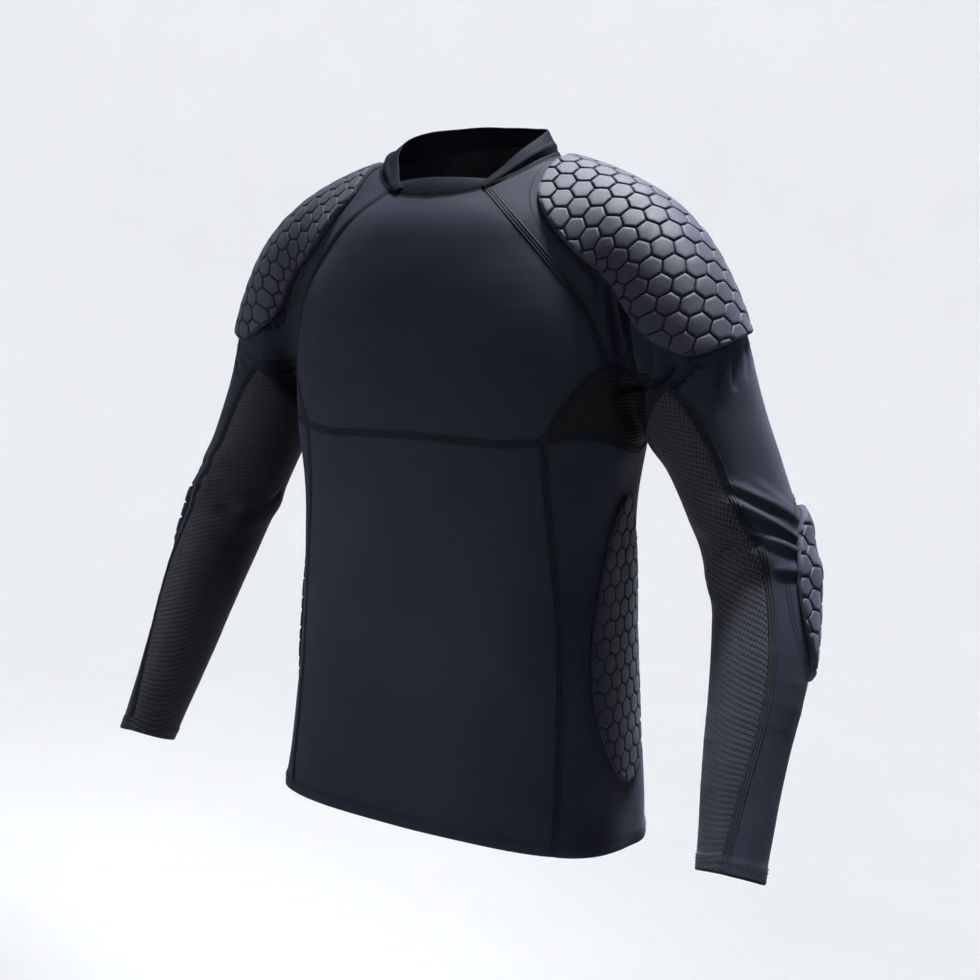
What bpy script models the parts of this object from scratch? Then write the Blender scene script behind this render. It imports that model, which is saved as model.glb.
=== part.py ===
"""Padded compression shirt, worn shape with nobody in it.

Long raglan sleeves, mesh under the arms, honeycomb foam pads on shoulders, elbows and ribs.
Metres, +Z up, the front faces -Y and the wearer's left is +X.
The origin is at the middle of the neck, level with the highest point of the shoulder seams.
"""
import math

import bmesh
import bpy
import numpy as np
from mathutils import Vector
from mathutils.bvhtree import BVHTree
from mathutils.geometry import delaunay_2d_cdt

# Cloth
WALL = 0.0016
HALF_GAP = 0.00017
SEAT = 0.00035
SQUEEZE = 0.030
FLANK_TOP = -0.035

# The body of the figure, as level sections
TORSO = (
    # z, half_width, half_depth, y_centre, squareness
    (0.030, 0.066, 0.060, 0.018, 2.2),
    (-0.030, 0.104, 0.078, 0.016, 2.2),
    (-0.070, 0.144, 0.095, 0.014, 2.3),
    (-0.120, 0.168, 0.108, 0.012, 2.4),
    (-0.170, 0.178, 0.115, 0.010, 2.5),
    (-0.220, 0.180, 0.116, 0.008, 2.6),
    (-0.270, 0.180, 0.112, 0.007, 2.7),
    (-0.340, 0.171, 0.105, 0.003, 2.8),
    (-0.440, 0.171, 0.101, -0.003, 2.9),
    (-0.520, 0.176, 0.100, -0.006, 3.0),
    (-0.600, 0.184, 0.103, -0.011, 3.0),
    (-0.680, 0.192, 0.107, -0.013, 3.0),
    (-0.740, 0.194, 0.109, -0.011, 3.0),
)

# The left sleeve, as balls strung on its middle line
ARM = (
    # x, y, z, radius
    (0.050, 0.018, -0.060, 0.054),
    (0.120, 0.018, -0.084, 0.060),
    (0.178, 0.016, -0.117, 0.060),
    (0.218, 0.014, -0.175, 0.057),
    (0.249, 0.012, -0.250, 0.050),
    (0.281, 0.007, -0.320, 0.046),
    (0.310, -0.004, -0.390, 0.044),
    (0.322, -0.038, -0.460, 0.041),
    (0.325, -0.080, -0.535, 0.034),
    (0.331, -0.120, -0.607, 0.028),
    (0.337, -0.156, -0.670, 0.026),
)

# The base of the neck, in the same way
NECK = (
    # x, y, z, radius
    (0.000, 0.030, -0.100, 0.080),
    (0.000, 0.018, 0.000, 0.062),
    (0.000, 0.010, 0.060, 0.060),
)

# Largest folds: a ridge (height above 0) or trough from one end to the other
FOLDS = (
    # x0, y0, z0, x1, y1, z1, half_width, height
    (0.186, -0.060, -0.120, 0.198, -0.046, -0.206, 0.013, -0.0050),
    (0.212, -0.052, -0.150, 0.218, -0.045, -0.212, 0.012, 0.0030),
    (0.288, -0.048, -0.318, 0.345, 0.012, -0.338, 0.014, 0.0042),
    (0.312, -0.046, -0.356, 0.352, 0.000, -0.378, 0.013, 0.0036),
    (0.262, -0.020, -0.352, 0.305, -0.046, -0.372, 0.013, -0.0038),
    (0.255, 0.030, -0.378, 0.272, -0.030, -0.395, 0.012, 0.0030),
    (0.130, -0.100, -0.610, 0.175, -0.075, -0.655, 0.022, 0.0030),
    (0.180, 0.040, -0.590, 0.192, 0.010, -0.655, 0.018, 0.0035),
)

# Seams of the left half. Each point is moved the short way onto the figure
NECK_FRONT = (
    # x, y, z
    (0.000, -0.066, -0.052),
    (0.028, -0.062, -0.050),
    (0.054, -0.050, -0.045),
)
NECK_SIDE = (
    # x, y, z
    (0.054, -0.050, -0.045),
    (0.082, -0.024, -0.028),
    (0.094, 0.008, -0.014),
    (0.086, 0.040, -0.006),
    (0.058, 0.066, -0.002),
)
NECK_BACK = (
    # x, y, z
    (0.058, 0.066, -0.002),
    (0.030, 0.080, -0.001),
    (0.000, 0.084, 0.000),
)
RAGLAN_FRONT = (
    # x, y, z
    (0.054, -0.050, -0.045),
    (0.086, -0.066, -0.068),
    (0.115, -0.067, -0.097),
    (0.137, -0.062, -0.124),
    (0.156, -0.057, -0.151),
    (0.167, -0.051, -0.177),
    (0.175, -0.044, -0.202),
)
RAGLAN_BACK = (
    # x, y, z
    (0.058, 0.066, -0.002),
    (0.086, 0.088, -0.040),
    (0.116, 0.096, -0.080),
    (0.146, 0.088, -0.120),
    (0.168, 0.076, -0.160),
    (0.180, 0.066, -0.202),
)
GUSSET_FRONT = (
    # x, y, z
    (0.175, -0.044, -0.202),
    (0.166, -0.058, -0.211),
    (0.151, -0.073, -0.230),
    (0.131, -0.087, -0.268),
)
GUSSET_BACK = (
    # x, y, z
    (0.180, 0.066, -0.202),
    (0.168, 0.078, -0.212),
    (0.153, 0.090, -0.232),
    (0.133, 0.102, -0.268),
)
GUSSET_LOW = (
    # x, y, z
    (0.131, -0.087, -0.268),
    (0.152, -0.071, -0.264),
    (0.168, -0.050, -0.266),
    (0.177, -0.020, -0.276),
    (0.178, 0.008, -0.282),
    (0.177, 0.038, -0.276),
    (0.168, 0.070, -0.266),
    (0.152, 0.089, -0.264),
    (0.133, 0.102, -0.268),
)
ARMHOLE_FRONT = (
    # x, y, z
    (0.175, -0.044, -0.202),
    (0.204, -0.040, -0.214),
    (0.232, -0.046, -0.217),
)
ARMHOLE_BACK = (
    # x, y, z
    (0.180, 0.066, -0.202),
    (0.204, 0.062, -0.214),
    (0.232, 0.070, -0.217),
)
MESH_TOP = (
    # x, y, z
    (0.232, -0.046, -0.217),
    (0.219, -0.042, -0.226),
    (0.207, -0.030, -0.242),
    (0.199, -0.010, -0.262),
    (0.197, 0.010, -0.270),
    (0.199, 0.032, -0.262),
    (0.207, 0.052, -0.242),
    (0.219, 0.066, -0.226),
    (0.232, 0.070, -0.217),
)
SLEEVE_FRONT = (
    # x, y, z
    (0.232, -0.046, -0.217),
    (0.254, -0.042, -0.240),
    (0.275, -0.038, -0.274),
    (0.292, -0.038, -0.310),
    (0.307, -0.038, -0.336),
    (0.322, -0.038, -0.360),
    (0.334, -0.050, -0.400),
    (0.343, -0.070, -0.445),
    (0.345, -0.094, -0.490),
    (0.339, -0.124, -0.545),
    (0.333, -0.150, -0.602),
)
SLEEVE_BACK = (
    # x, y, z
    (0.232, 0.070, -0.217),
    (0.240, 0.064, -0.255),
    (0.264, 0.053, -0.320),
    (0.291, 0.040, -0.390),
    (0.305, 0.003, -0.460),
    (0.314, -0.043, -0.535),
    (0.320, -0.098, -0.626),
)
SHOULDER_LINE = (
    # x, y, z
    (0.094, 0.008, -0.014),
    (0.140, 0.016, -0.030),
    (0.185, 0.016, -0.050),
    (0.235, 0.016, -0.090),
    (0.270, 0.015, -0.145),
    (0.288, 0.013, -0.200),
    (0.310, 0.008, -0.270),
    (0.338, 0.000, -0.350),
    (0.354, -0.024, -0.410),
    (0.359, -0.058, -0.480),
    (0.360, -0.124, -0.616),
)
UNDERARM_LINE = (
    # x, y, z
    (0.197, 0.010, -0.270),
    (0.222, 0.010, -0.300),
    (0.240, 0.006, -0.335),
    (0.264, -0.008, -0.400),
    (0.279, -0.044, -0.470),
    (0.292, -0.082, -0.535),
    (0.304, -0.124, -0.616),
)
CHEST_SEAM = (
    # x, y, z
    (0.000, -0.108, -0.268),
    (0.048, -0.106, -0.269),
    (0.096, -0.099, -0.271),
    (0.131, -0.087, -0.268),
)
PRINCESS = (
    # x, y, z
    (0.131, -0.087, -0.268),
    (0.134, -0.083, -0.322),
    (0.139, -0.079, -0.380),
    (0.144, -0.078, -0.440),
    (0.147, -0.080, -0.500),
    (0.149, -0.086, -0.570),
    (0.150, -0.095, -0.653),
)
BACK_SEAM = (
    # x, y, z
    (0.133, 0.102, -0.268),
    (0.136, 0.090, -0.340),
    (0.139, 0.078, -0.440),
    (0.145, 0.074, -0.540),
    (0.152, 0.076, -0.676),
)
HEM_FRONT = (
    # x, y, z
    (0.000, -0.118, -0.650),
    (0.075, -0.114, -0.650),
    (0.150, -0.095, -0.653),
)
HEM_SIDE = (
    # x, y, z
    (0.150, -0.095, -0.653),
    (0.182, -0.062, -0.658),
    (0.190, -0.010, -0.667),
    (0.182, 0.046, -0.674),
    (0.152, 0.076, -0.676),
)
HEM_BACK = (
    # x, y, z
    (0.152, 0.076, -0.676),
    (0.075, 0.093, -0.680),
    (0.000, 0.097, -0.681),
)

# How many steps each seam is drawn with
STEPS = {
    "neck_front": 5, "neck_side": 10, "neck_back": 5, "raglan": 8, "gusset_edge": 4, "gusset_low": 10,
    "armhole": 2, "mesh_top": 6, "sleeve": 15, "chest": 5, "princess": 12,
}

# Collar: the neck's middle, how far the band bows outward, and where the top edge stands,
# for the front band and for the band round the back
NECK_MIDDLE = 0.015
COLLAR_BOW = 0.0015
COLLAR_TOP_FRONT = (
    # x, y, z
    (0.000, -0.055, -0.033),
    (0.028, -0.051, -0.031),
    (0.052, -0.040, -0.027),
)
COLLAR_TOP_SIDE = (
    # x, y, z
    (0.052, -0.040, -0.027),
    (0.069, -0.020, -0.012),
    (0.076, 0.008, 0.004),
    (0.069, 0.038, 0.014),
    (0.046, 0.060, 0.018),
)
COLLAR_TOP_BACK = (
    # x, y, z
    (0.046, 0.060, 0.018),
    (0.024, 0.070, 0.020),
    (0.000, 0.073, 0.020),
)

# Pads
PITCH = 0.020
GROOVE = 0.0022
SMALLEST_RAISED = 0.16
CHART_ROW = 0.005
CHART_STEP = 0.003
WELD = 4e-5
LARGEST_LIFT = 0.004
SHOULDER_SPINE = (
    # x, y, z
    (0.100, 0.012, -0.016),
    (0.140, 0.016, -0.030),
    (0.185, 0.016, -0.050),
    (0.235, 0.016, -0.090),
    (0.270, 0.015, -0.145),
    (0.288, 0.013, -0.200),
    (0.302, 0.011, -0.250),
)
SHOULDER_OUTLINE = (
    # across, along
    (0.000, 0.006), (-0.030, 0.007), (-0.056, 0.012), (-0.076, 0.026), (-0.090, 0.052), (-0.098, 0.092),
    (-0.101, 0.140), (-0.099, 0.188), (-0.092, 0.225), (-0.077, 0.253), (-0.056, 0.266), (0.000, 0.262),
    (0.050, 0.254), (0.074, 0.242), (0.092, 0.216), (0.099, 0.180), (0.101, 0.140), (0.098, 0.092),
    (0.090, 0.052), (0.076, 0.026), (0.056, 0.012), (0.030, 0.007),
)
ELBOW_SPINE = (
    # x, y, z
    (0.318, 0.036, -0.318),
    (0.332, 0.030, -0.358),
    (0.344, 0.018, -0.400),
    (0.350, -0.008, -0.448),
    (0.352, -0.034, -0.498),
)
ELBOW_OUTLINE = (
    # across, along
    (0.000, 0.014), (-0.022, 0.019), (-0.039, 0.036), (-0.048, 0.062), (-0.050, 0.092), (-0.044, 0.124),
    (-0.031, 0.150), (-0.015, 0.164), (0.000, 0.168), (0.015, 0.164), (0.031, 0.150), (0.044, 0.124),
    (0.050, 0.092), (0.048, 0.062), (0.039, 0.036), (0.022, 0.019),
)
RIB_SPINE = (
    # x, y, z
    (0.175, 0.004, -0.290),
    (0.169, 0.003, -0.340),
    (0.171, -0.002, -0.440),
    (0.176, -0.006, -0.520),
    (0.183, -0.009, -0.600),
    (0.188, -0.010, -0.650),
)
RIB_OUTLINE = (
    # across, along
    (0.000, 0.036), (-0.015, 0.047), (-0.028, 0.074), (-0.038, 0.106), (-0.046, 0.140), (-0.051, 0.178),
    (-0.051, 0.220), (-0.045, 0.254), (-0.034, 0.284), (-0.018, 0.306), (0.000, 0.314), (0.018, 0.306),
    (0.034, 0.284), (0.045, 0.254), (0.051, 0.220), (0.051, 0.178), (0.046, 0.140), (0.038, 0.106),
    (0.028, 0.074), (0.015, 0.047),
)
PADS = (
    # name, middle_line, outline, reach_across, first_row, groove_height, top_height, lies_on, slot
    ("shoulder_pad", SHOULDER_SPINE, SHOULDER_OUTLINE, 0.108, 0.010, 0.0030, 0.0060, "sleeve_outer",
     "pad_cover"),
    ("elbow_pad", ELBOW_SPINE, ELBOW_OUTLINE, 0.066, 0.008, 0.0030, 0.0060, "sleeve_outer", "pad_cover"),
    ("rib_pad", RIB_SPINE, RIB_OUTLINE, 0.075, 0.012, 0.0022, 0.0042, "side", "rib_pad_cover"),
)
CELL_ROWS = range(-2, 24)
CELL_COLUMNS = range(-8, 9)

# Where a triangle is tried against what it lies on, as shares of its corners
TRIAL_SHARES = (
    (1, 1, 1), (4, 1, 1), (1, 4, 1), (1, 1, 4), (1, 1, 0), (0, 1, 1), (1, 0, 1), (1, 0, 0), (0, 1, 0), (0, 0, 1),
)
SKIN_SHARES = (
    (4, 0, 0), (0, 4, 0), (0, 0, 4), (3, 1, 0), (2, 2, 0), (1, 3, 0), (0, 3, 1), (0, 2, 2), (0, 1, 3),
    (3, 0, 1), (2, 0, 2), (1, 0, 3), (2, 1, 1), (1, 2, 1), (1, 1, 2),
)

# Cloth and foam colours
SLOTS = {
    "stretch_knit": (0.020, 0.024, 0.036),
    "air_mesh": (0.011, 0.012, 0.017),
    "pad_cover": (0.032, 0.034, 0.048),
    "rib_pad_cover": (0.018, 0.021, 0.032),
    "collar_knit": (0.016, 0.019, 0.028),
}


def spline(table, count):
    """Points on a smooth curve through the table's rows, evenly spaced along it."""
    rows = np.asarray(table, float)
    last = len(rows) - 1
    ends = np.vstack([2 * rows[0] - rows[1], rows, 2 * rows[-1] - rows[-2]])
    fine = []
    for where in np.linspace(0, last, 40 * last + 1):
        k = min(int(where), last - 1)
        f = where - k
        a, b, c, d = ends[k:k + 4]
        fine.append(0.5 * (2 * b + (c - a) * f + (2 * a - 5 * b + 4 * c - d) * f * f
                           + (3 * b - a - 3 * c + d) * f ** 3))
    return even(np.array(fine), count)


def even(points, count):
    """The same line cut into count equal steps."""
    run = np.concatenate([[0.0], np.cumsum(np.linalg.norm(np.diff(points[:, :3], axis=0), axis=1))])
    want = np.linspace(0, run[-1], count + 1)
    return np.stack([np.interp(want, run, points[:, k]) for k in range(points.shape[1])], 1)


TORSO_ROWS = spline(TORSO, 70)[::-1]
ARM_ROWS = spline(ARM, 40)
NECK_ROWS = spline(NECK, 8)


def smooth_least(a, b, k):
    """The lesser of two distances, with the corner between them rounded."""
    h = np.clip(0.5 + 0.5 * (b - a) / k, 0, 1)
    return b * (1 - h) + a * h - k * h * (1 - h)


def from_string(p, rows):
    """Distance to a string of balls."""
    a = rows[:-1]
    step = rows[1:, :3] - a[:, :3]
    t = np.clip(((p[:, None, :] - a[None, :, :3]) * step).sum(2) / (step * step).sum(1), 0, 1)
    middle = a[None, :, :3] + t[..., None] * step
    radius = a[:, 3] + t * (rows[1:, 3] - a[:, 3])
    return (np.linalg.norm(p[:, None, :] - middle, axis=2) - radius).min(1)


def folds(p):
    """How far the folds lift the cloth at each point."""
    lift = np.zeros(len(p))
    for x0, y0, z0, x1, y1, z1, width, height in FOLDS:
        a = np.array((x0, y0, z0))
        run = np.array((x1, y1, z1)) - a
        t = ((p - a) @ run) / (run @ run)
        off = np.linalg.norm(p - a - np.clip(t, 0, 1)[:, None] * run, axis=1)
        lift += height * np.exp(-(off / width) ** 2)
    return lift


def figure(points):
    """Less than 0 inside the general figure that gives the shirt its worn shape."""
    p = np.stack([np.abs(points[:, 0]), points[:, 1], points[:, 2]], 1)
    z = p[:, 2]
    half_width, half_depth, middle, square = (np.interp(z, TORSO_ROWS[:, 0], TORSO_ROWS[:, k])
                                              for k in (1, 2, 3, 4))
    x = p[:, 0]
    y = np.abs(p[:, 1] - middle)
    q = ((x / half_width) ** square + (y / half_depth) ** square + 1e-12) ** (1 / square)
    body = np.sqrt(x * x + y * y) * (1 - 1 / np.maximum(q, 0.05))
    body = -smooth_least(-body, FLANK_TOP - z, 0.05)
    body = smooth_least(body, from_string(p, NECK_ROWS), 0.03)
    return smooth_least(body, from_string(p, ARM_ROWS), SQUEEZE) - folds(p)


def slope(p, e=0.0006):
    """The figure's gradient."""
    return np.stack([figure(p + e * v) - figure(p - e * v) for v in np.eye(3)], 1) / (2 * e)


def normals(p):
    g = slope(p, 0.003)
    return g / np.linalg.norm(g, axis=1)[:, None]


def settle(points, turns=9):
    """Points moved the short way onto the figure."""
    shape = np.shape(points)
    p = np.array(points, float).reshape(-1, 3)
    for _ in range(turns):
        g = slope(p)
        move = (figure(p) / np.maximum((g * g).sum(1), 0.3))[:, None] * g
        length = np.linalg.norm(move, axis=1)[:, None]
        p -= move * np.minimum(1, 0.02 / np.maximum(length, 1e-9))
    return p.reshape(shape)


def seam(table, count):
    """A seam line on the figure, evenly stepped, with its ends where the table has them."""
    fine = settle(spline(table, max(3 * count, 24)))
    return settle(even(fine, count), 4)


def join(*lines):
    """Seams laid end to end."""
    return np.vstack([lines[0]] + [line[1:] for line in lines[1:]])


def along(line):
    """How far along its line each point is, from 0 to 1."""
    run = np.concatenate([[0.0], np.cumsum(np.linalg.norm(np.diff(line, axis=0), axis=1))])
    return run / run[-1]


def patch(left, right, top, bottom):
    """A four-sided grid laid on the figure, between seams that share their corners."""
    rows, cols = len(left), len(top)
    v = 0.5 * (along(left) + along(right))
    u = 0.5 * (along(top) + along(bottom))
    grid = np.zeros((rows, cols, 3))
    for i in range(rows):
        for j in range(cols):
            a, b = u[j], v[i]
            grid[i, j] = ((1 - a) * left[i] + a * right[i] + (1 - b) * top[j] + b * bottom[j]
                          - (1 - a) * (1 - b) * top[0] - a * (1 - b) * top[-1]
                          - (1 - a) * b * bottom[0] - a * b * bottom[-1])
    grid[1:-1, 1:-1] = settle(grid[1:-1, 1:-1])
    return grid


def tube_rows(front, middle, back, top, bottom):
    """A grid round part of a sleeve: each row bends over its middle point from seam to seam."""
    rows, cols = len(front), len(top)
    grid = np.zeros((rows, cols, 3))
    for i in range(rows):
        if i in (0, rows - 1):
            grid[i] = top if i == 0 else bottom
            continue
        halfway = 0.5 * (front[i] + back[i])
        hub = halfway - 0.25 * (middle[i] - halfway)
        spoke_a, spoke_m, spoke_b = front[i] - hub, middle[i] - hub, back[i] - hub
        n = np.cross(spoke_a, spoke_b)
        n /= np.linalg.norm(n)
        e1 = spoke_m - (spoke_m @ n) * n
        e1 /= np.linalg.norm(e1)
        e2 = np.cross(n, e1)
        turn_a = math.atan2(spoke_a @ e2, spoke_a @ e1)
        turn_b = math.atan2(spoke_b @ e2, spoke_b @ e1)
        turn = np.linspace(turn_a, turn_b, 33)
        part = np.linspace(0, 1, 33)
        reach = (np.linalg.norm(spoke_a) * (1 - part) + np.linalg.norm(spoke_b) * part)
        reach += (np.linalg.norm(spoke_m) - 0.5 * (reach[0] + reach[-1])) * np.sin(math.pi * part)
        ray = np.cos(turn)[:, None] * e1 + np.sin(turn)[:, None] * e2
        far = reach.copy()
        for _ in range(9):
            p = hub + ray * far[:, None]
            rate = np.maximum((slope(p) * ray).sum(1), 0.35)
            far -= np.clip(figure(p) / rate, -0.012, 0.012)
        line = even(hub + ray * far[:, None], cols - 1)
        grid[i, 1:-1] = settle(line[1:-1], 3)
        grid[i, 0] = front[i]
        grid[i, -1] = back[i]
    return grid


def mirror(grid):
    """The same points on the other side of the shirt."""
    return grid * np.array((-1.0, 1.0, 1.0))


def unit(v):
    return v / max(np.linalg.norm(v), 1e-12)


def draw_in(grid, up):
    """The grid with its edges drawn in by half the gap between two pieces."""
    rows, cols, _ = grid.shape
    out = grid.copy()
    for i in range(rows):
        for j in range(cols):
            for edge, inner, a, b in (
                    (i == 0, (1, j), (i, max(j - 1, 0)), (i, min(j + 1, cols - 1))),
                    (i == rows - 1, (rows - 2, j), (i, max(j - 1, 0)), (i, min(j + 1, cols - 1))),
                    (j == 0, (i, 1), (max(i - 1, 0), j), (min(i + 1, rows - 1), j)),
                    (j == cols - 1, (i, cols - 2), (max(i - 1, 0), j), (min(i + 1, rows - 1), j))):
                if not edge:
                    continue
                way = grid[inner] - grid[i, j]
                run = unit(grid[b] - grid[a])
                way = way - (way @ run) * run - (way @ up[i, j]) * up[i, j]
                out[i, j] += HALF_GAP * unit(way)
    return out


def wall_mesh(grid, up):
    """Vertices and faces of a closed cloth wall over a grid."""
    rows, cols, _ = grid.shape
    drawn = draw_in(grid, up)
    verts = np.vstack([drawn.reshape(-1, 3), (drawn + WALL * up).reshape(-1, 3)])
    half = rows * cols
    faces = []
    for i in range(rows - 1):
        for j in range(cols - 1):
            a, b, c, d = i * cols + j, i * cols + j + 1, (i + 1) * cols + j + 1, (i + 1) * cols + j
            faces.append((a, b, c, d))
            faces.append((d + half, c + half, b + half, a + half))
    rim = [(0, j) for j in range(cols)] + [(i, cols - 1) for i in range(1, rows)]
    rim += [(rows - 1, j) for j in range(cols - 2, -1, -1)] + [(i, 0) for i in range(rows - 2, 0, -1)]
    ring = [i * cols + j for i, j in rim]
    for a, b in zip(ring, ring[1:] + ring[:1]):
        faces.append((b, a, a + half, b + half))
    return verts, faces


def add_solid(name, verts, faces, slot, group):
    """A named closed mesh with its faces turned outward and its own material."""
    mesh = bpy.data.meshes.new(name)
    mesh.from_pydata([tuple(v) for v in verts], [], faces)
    bm = bmesh.new()
    bm.from_mesh(mesh)
    bmesh.ops.triangulate(bm, faces=bm.faces[:])
    bmesh.ops.recalc_face_normals(bm, faces=bm.faces[:])
    if bm.calc_volume(signed=True) < 0:
        bmesh.ops.reverse_faces(bm, faces=bm.faces[:])
    bm.to_mesh(mesh)
    bm.free()
    mesh.materials.append(material(slot))
    obj = bpy.data.objects.new(name, mesh)
    group.objects.link(obj)
    return obj


def material(slot):
    mat = bpy.data.materials.get(slot)
    if mat is None:
        mat = bpy.data.materials.new(slot)
        mat.use_nodes = True
        shader = mat.node_tree.nodes["Principled BSDF"]
        shader.inputs["Base Color"].default_value = (*SLOTS[slot], 1)
        shader.inputs["Roughness"].default_value = 0.6
        mat.diffuse_color = (*[min(1, 3 * c) for c in SLOTS[slot]], 1)
    return mat


def left_grids():
    """The cloth pieces of the left half, and those across the middle, as grids on the figure."""
    n = STEPS
    neck_front = seam(NECK_FRONT, n["neck_front"])
    neck_side = seam(NECK_SIDE, n["neck_side"])
    neck_back = seam(NECK_BACK, n["neck_back"])
    raglan_front = seam(RAGLAN_FRONT, n["raglan"])
    raglan_back = seam(RAGLAN_BACK, n["raglan"])
    gusset_front = seam(GUSSET_FRONT, n["gusset_edge"])
    gusset_back = seam(GUSSET_BACK, n["gusset_edge"])
    gusset_low = seam(GUSSET_LOW, n["gusset_low"])
    armhole_front = seam(ARMHOLE_FRONT, n["armhole"])
    armhole_back = seam(ARMHOLE_BACK, n["armhole"])
    mesh_top = seam(MESH_TOP, n["mesh_top"])
    sleeve_front = seam(SLEEVE_FRONT, n["sleeve"])
    sleeve_back = seam(SLEEVE_BACK, n["sleeve"])
    chest_seam = seam(CHEST_SEAM, n["chest"])
    princess = seam(PRINCESS, n["princess"])
    back_seam = seam(BACK_SEAM, n["princess"])
    hem_front = seam(HEM_FRONT, n["chest"])
    hem_side = seam(HEM_SIDE, n["gusset_low"])
    hem_back = seam(HEM_BACK, n["neck_back"])
    across = lambda line: join(mirror(line[::-1]), line)

    grids = {}
    side = join(raglan_front, gusset_front)
    grids["chest"] = patch(mirror(side), side, across(neck_front), across(chest_seam))
    grids["belly"] = patch(mirror(princess), princess, across(chest_seam), across(hem_front))
    side = join(raglan_back, gusset_back, back_seam)
    grids["back"] = patch(side, mirror(side), across(neck_back[::-1])[::-1], across(hem_back[::-1])[::-1])
    grids["side"] = patch(princess, back_seam, gusset_low, hem_side)
    top = join(armhole_front, mesh_top, armhole_back[::-1])
    grids["gusset"] = patch(gusset_front, gusset_back, top, gusset_low)
    front = join(raglan_front, armhole_front, sleeve_front)
    back = join(raglan_back, armhole_back, sleeve_back)
    part = along(front)
    line = settle(spline(SHOULDER_LINE, 200))
    run = along(line)
    middle = np.stack([np.interp(part, run, line[:, k]) for k in range(3)], 1)
    cuff_out = seam((sleeve_front[-1], middle[-1], sleeve_back[-1]), n["neck_side"])
    grids["sleeve_outer"] = tube_rows(front, middle, back, neck_side, cuff_out)
    line = settle(spline(UNDERARM_LINE, 200))
    run = along(line)
    part = along(sleeve_front)
    middle = np.stack([np.interp(part, run, line[:, k]) for k in range(3)], 1)
    cuff_in = seam((sleeve_front[-1], middle[-1], sleeve_back[-1]), n["mesh_top"])
    grids["sleeve_inner"] = tube_rows(sleeve_front, middle, sleeve_back, mesh_top, cuff_in)
    return grids


def grid_normals(grid):
    """Outward directions at the points of a free-standing grid."""
    down = np.gradient(grid, axis=0)
    over = np.gradient(grid, axis=1)
    n = np.cross(down, over)
    n /= np.linalg.norm(n, axis=2)[..., None]
    hub = np.array((0.0, NECK_MIDDLE, grid[..., 2].mean()))
    return -n if ((grid - hub) * n).sum() < 0 else n


def collar_wall(low, top):
    """A band standing on the neck seam: its grid and its outward directions."""
    n = len(low) - 1
    high = even(top, n)
    middle = 0.5 * (low + high) + COLLAR_BOW * normals(low)
    grid = np.stack([high, middle, low])
    up = grid_normals(grid)
    up[2] = normals(low)
    up[1] = up[1] + 0.3 * up[2]
    up[1] /= np.linalg.norm(up[1], axis=1)[:, None]
    return grid, up


class Chart:
    """Flat sizes laid over the figure: along a middle line, and across it both ways."""

    def __init__(self, spine, reach):
        rough = settle(spline(spine, 120))
        length = np.linalg.norm(np.diff(rough, axis=0), axis=1).sum()
        self.rows = int(round(length / CHART_ROW))
        line = settle(even(rough, self.rows), 4)
        self.pace = length / self.rows
        self.half = int(round(reach / CHART_STEP))
        up = normals(line)
        run = np.gradient(line, axis=0)
        side = np.cross(up, run)
        side /= np.linalg.norm(side, axis=1)[:, None]
        self.points = np.zeros((self.rows + 1, 2 * self.half + 1, 3))
        self.up = np.zeros_like(self.points)
        self.points[:, self.half] = line
        self.up[:, self.half] = up
        for sign in (-1, 1):
            p, way = line.copy(), sign * side
            for k in range(1, self.half + 1):
                p = settle(p + way * CHART_STEP, 3)
                n = normals(p)
                way = way - (way * n).sum(1)[:, None] * n
                way /= np.linalg.norm(way, axis=1)[:, None]
                self.points[:, self.half + sign * k] = p
                self.up[:, self.half + sign * k] = n

    def at(self, uv):
        """Points on the figure, and the outward directions there."""
        uv = np.asarray(uv, float)
        a = np.clip(uv[:, 0] / CHART_STEP + self.half, 0, 2 * self.half - 0.001)
        b = np.clip(uv[:, 1] / self.pace, 0, self.rows - 0.001)
        i, j = b.astype(int), a.astype(int)
        f, g = (b - i)[:, None], (a - j)[:, None]
        out = []
        for table in (self.points, self.up):
            out.append((1 - f) * ((1 - g) * table[i, j] + g * table[i, j + 1])
                       + f * ((1 - g) * table[i + 1, j] + g * table[i + 1, j + 1]))
        out[1] /= np.linalg.norm(out[1], axis=1)[:, None]
        return out


def clip(cell, outline):
    """What of a cell lies inside a convex outline that runs anticlockwise."""
    for k in range(len(outline)):
        a, b = outline[k], outline[(k + 1) % len(outline)]
        side = lambda p: (b[0] - a[0]) * (p[1] - a[1]) - (b[1] - a[1]) * (p[0] - a[0])
        kept = []
        for m in range(len(cell)):
            p, q = cell[m], cell[(m + 1) % len(cell)]
            sp, sq = side(p), side(q)
            if sp >= 0:
                kept.append(p)
            if (sp > 0 > sq) or (sp < 0 < sq):
                t = sp / (sp - sq)
                kept.append((p[0] + t * (q[0] - p[0]), p[1] + t * (q[1] - p[1])))
        cell = kept
        if len(cell) < 3:
            return []
    tidy = []
    for p in cell:
        if not tidy or math.dist(p, tidy[-1]) > WELD / 2:
            tidy.append(p)
    if len(tidy) > 1 and math.dist(tidy[0], tidy[-1]) <= WELD / 2:
        tidy.pop()
    return tidy if len(tidy) > 2 else []


def area_of(poly):
    return 0.5 * sum(p[0] * q[1] - q[0] * p[1] for p, q in zip(poly, poly[1:] + poly[:1]))


def honeycomb(outline, first_row):
    """Hexagon cells that fill the outline, cut off at its edge."""
    if area_of(outline) < 0:
        outline = outline[::-1]
    radius = PITCH / math.sqrt(3)
    whole = 1.5 * radius * PITCH
    cells = []
    for row in CELL_ROWS:
        for col in CELL_COLUMNS:
            u = (col + 0.5 * (row % 2)) * PITCH
            v = first_row + row * 1.5 * radius
            cell = [(u + radius * math.cos(math.radians(30 + 60 * k)),
                     v + radius * math.sin(math.radians(30 + 60 * k))) for k in range(6)]
            cell = clip(cell, outline)
            if cell and area_of(cell) > 1e-9:
                cells.append((cell, area_of(cell) / whole))
    return cells


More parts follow.
